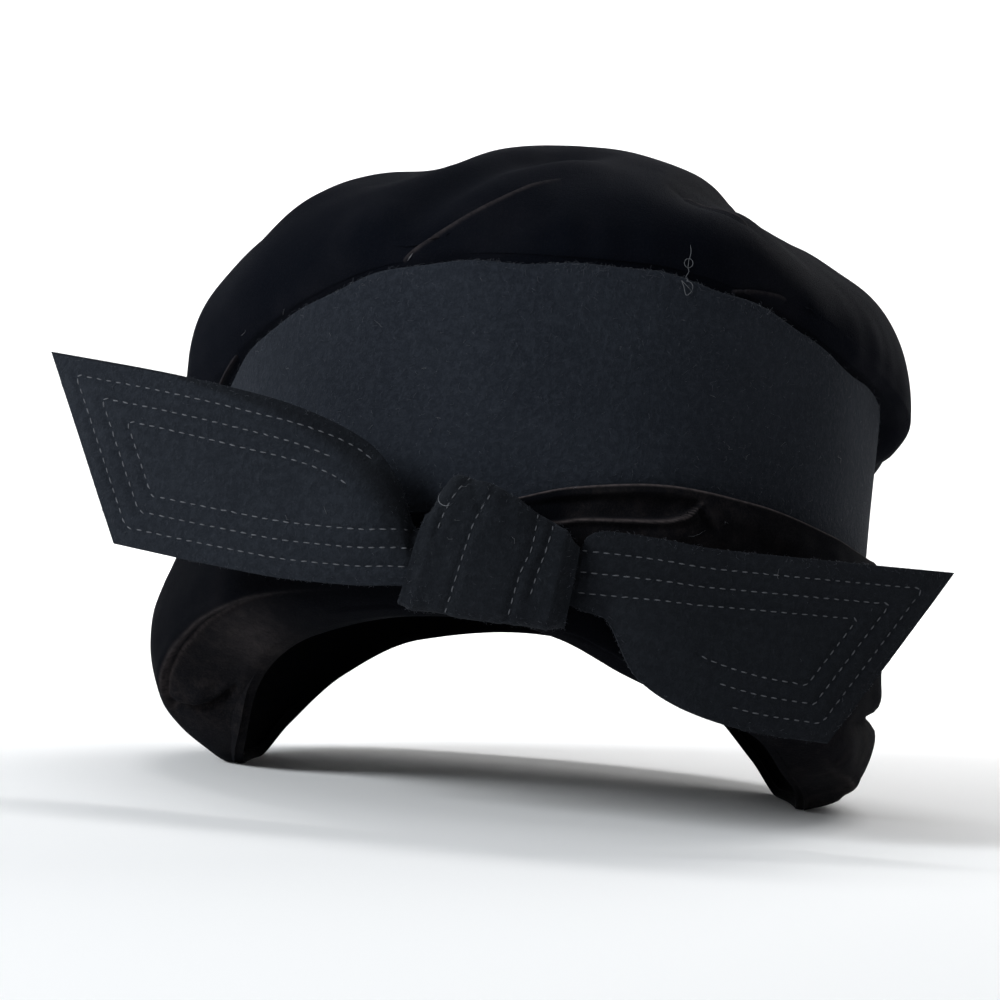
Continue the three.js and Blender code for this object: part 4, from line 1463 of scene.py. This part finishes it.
def knot_edges(centre, normal):
    x, _, z = centre.T
    share = (x - (-30)) / 37
    sides = 3 * hump(share, 0.1) + 3 * hump(share - 1, 0.1)
    return 0.4 + sides + 2 * ease(z, 70, 78) + 3 * (1 - ease(z, 47.5, 50))


hair_groups = (
    ("cuff_hairs", felt_cuff, near_cuff_edge, 3200, (0.5, 1.7), 0.2, 5, "cuff_felt"),
    ("left_tail_hairs", left_tail, near_outline(LEFT_TAIL), 800, (0.4, 1.2), 0.6, 6, "bow_felt"),
    ("right_tail_hairs", right_tail, near_outline(RIGHT_TAIL), 800, (0.4, 1.2), 0.6, 7, "bow_felt"),
    ("knot_hairs", bow_knot, knot_edges, 600, (0.4, 1.3), 0.7, 8, "bow_felt"),
)
for name, piece, weight, count, lengths, upright, seed, slot in hair_groups:
    copies = hairs_on(piece, weight, count, lengths, HAIR_RADIUS, upright, seed)
    finish_piece(joined_mesh(name, copies, HAIR_FACES, wool_hair), None)


# %% Loose threads
def tube(points, radius, sides=5):
    """A thin closed tube along points in mm, as rings and faces."""
    points = np.array(points, float)
    way = np.gradient(points, axis=0)
    way /= np.maximum(np.linalg.norm(way, axis=-1, keepdims=True), 1e-9)
    reference = np.array([0.3, 0.2, 0.93])
    side = np.cross(way, reference)
    side /= np.linalg.norm(side, axis=-1, keepdims=True)
    other = np.cross(way, side)
    angle = 2 * math.pi * np.arange(sides) / sides
    from_end = np.minimum(np.arange(len(points)), np.arange(len(points))[::-1])
    thick = radius * np.minimum(1, 0.3 + from_end * 0.5)
    circle = np.cos(angle)[:, None] * side[:, None] + np.sin(angle)[:, None] * other[:, None]
    rings = points[:, None] + thick[:, None, None] * circle
    return rings.reshape(-1, 3), tube_faces(len(points), sides)


def on_surface(skins, flat_points, stand):
    """Points in front of whichever piece is met first, from places seen from the front."""
    made = []
    for x, z in flat_points:
        met = [skin.meet(x, z) for skin in skins]
        met = [(place, normal) for place, normal in met if place is not None]
        if met:
            place, normal = min(met, key=lambda pair: pair[0][1])
            made.append(place + np.array([0, -1, 0]) * stand)
    return made


def loose_thread(name, skins, flat_points, radius, stand, material):
    points, faces = tube(on_surface(skins, flat_points, stand), radius)
    return finish_piece(joined_mesh(name, [points], faces, material), None)


cuff_skin, band_skin = Skin(felt_cuff), Skin(velvet_band)
crown_skin = Skin(velvet_crown)
turn = np.linspace(0, 2 * math.pi, 22)
tack = ([(29.4 + 0.3 * math.sin(t), 139.0 - 1.1 * t) for t in np.linspace(0, 3, 8)]
        + [(29.3 + 1.05 * math.sin(a), 134.6 + 1.1 * math.cos(a)) for a in turn]
        + [(29.2 + 0.3 * math.sin(2.3 * t), 133.4 - 1.1 * t) for t in np.linspace(0, 3, 9)]
        + [(28.9 + 2.3 * math.sin(a * 1.1) * (0.6 + 0.4 * math.cos(a)), 128.4 + 1.7 * math.cos(a * 1.3))
           for a in turn])
loose_thread("tacking_thread", [crown_skin, cuff_skin], tack, 0.075, 0.35, lint_grey)
knot_curl = [(-24.6 - 1.3 * math.sin(t) + 0.6 * t, 74.9 + 1.1 * math.cos(1.2 * t) - 0.4 * t)
             for t in np.linspace(0, 3.4, 14)]
loose_thread("knot_curl", [knot_skin, left_skin], knot_curl, 0.1, 0.4, lint_grey)
tick = [(-37.4, 130.2), (-36.8, 131.1), (-36.3, 131.9)]
loose_thread("pleat_tick", [crown_skin, cuff_skin], tick, 0.1, 0.3, lint_white)

# %% Specks of lint
SPECKS = 34
draw = np.random.default_rng(77)
every_skin = [cuff_skin, left_skin, right_skin, knot_skin, band_skin, crown_skin]
specks = []
for x, z in zip(draw.uniform(-80, 75, SPECKS), draw.uniform(60, 128, SPECKS)):
    bend = draw.normal(0, 0.5, (4, 2)).cumsum(0) + draw.normal(0, 0.25, 2) * np.arange(4)[:, None]
    line = on_surface(every_skin, [(x + a, z + b) for a, b in bend], 0.12)
    if len(line) == 4:
        specks.append(tube(line, 0.045, 3))
speck_points, speck_faces = [points for points, _ in specks], specks[0][1]
finish_piece(joined_mesh("lint", speck_points, speck_faces, lint_grey), None)

# %% [markdown]
# ## What is cloth
# The area of cloth in each piece is printed, as half its closed surface. The crown is a round
# of velvet, the cuff and the tails are strips of felt, and the band is a long strip that is
# turned under at the rim.

# %% Sizes of the cut cloth
def cloth_area(piece):
    """Half the closed surface, in square metres."""
    return sum(face.area for face in piece.data.polygons) / 2


for piece in (velvet_crown, felt_cuff, velvet_band, left_tail, right_tail, bow_knot):
    print(piece.name, "cloth area in m2:", round(cloth_area(piece), 4))
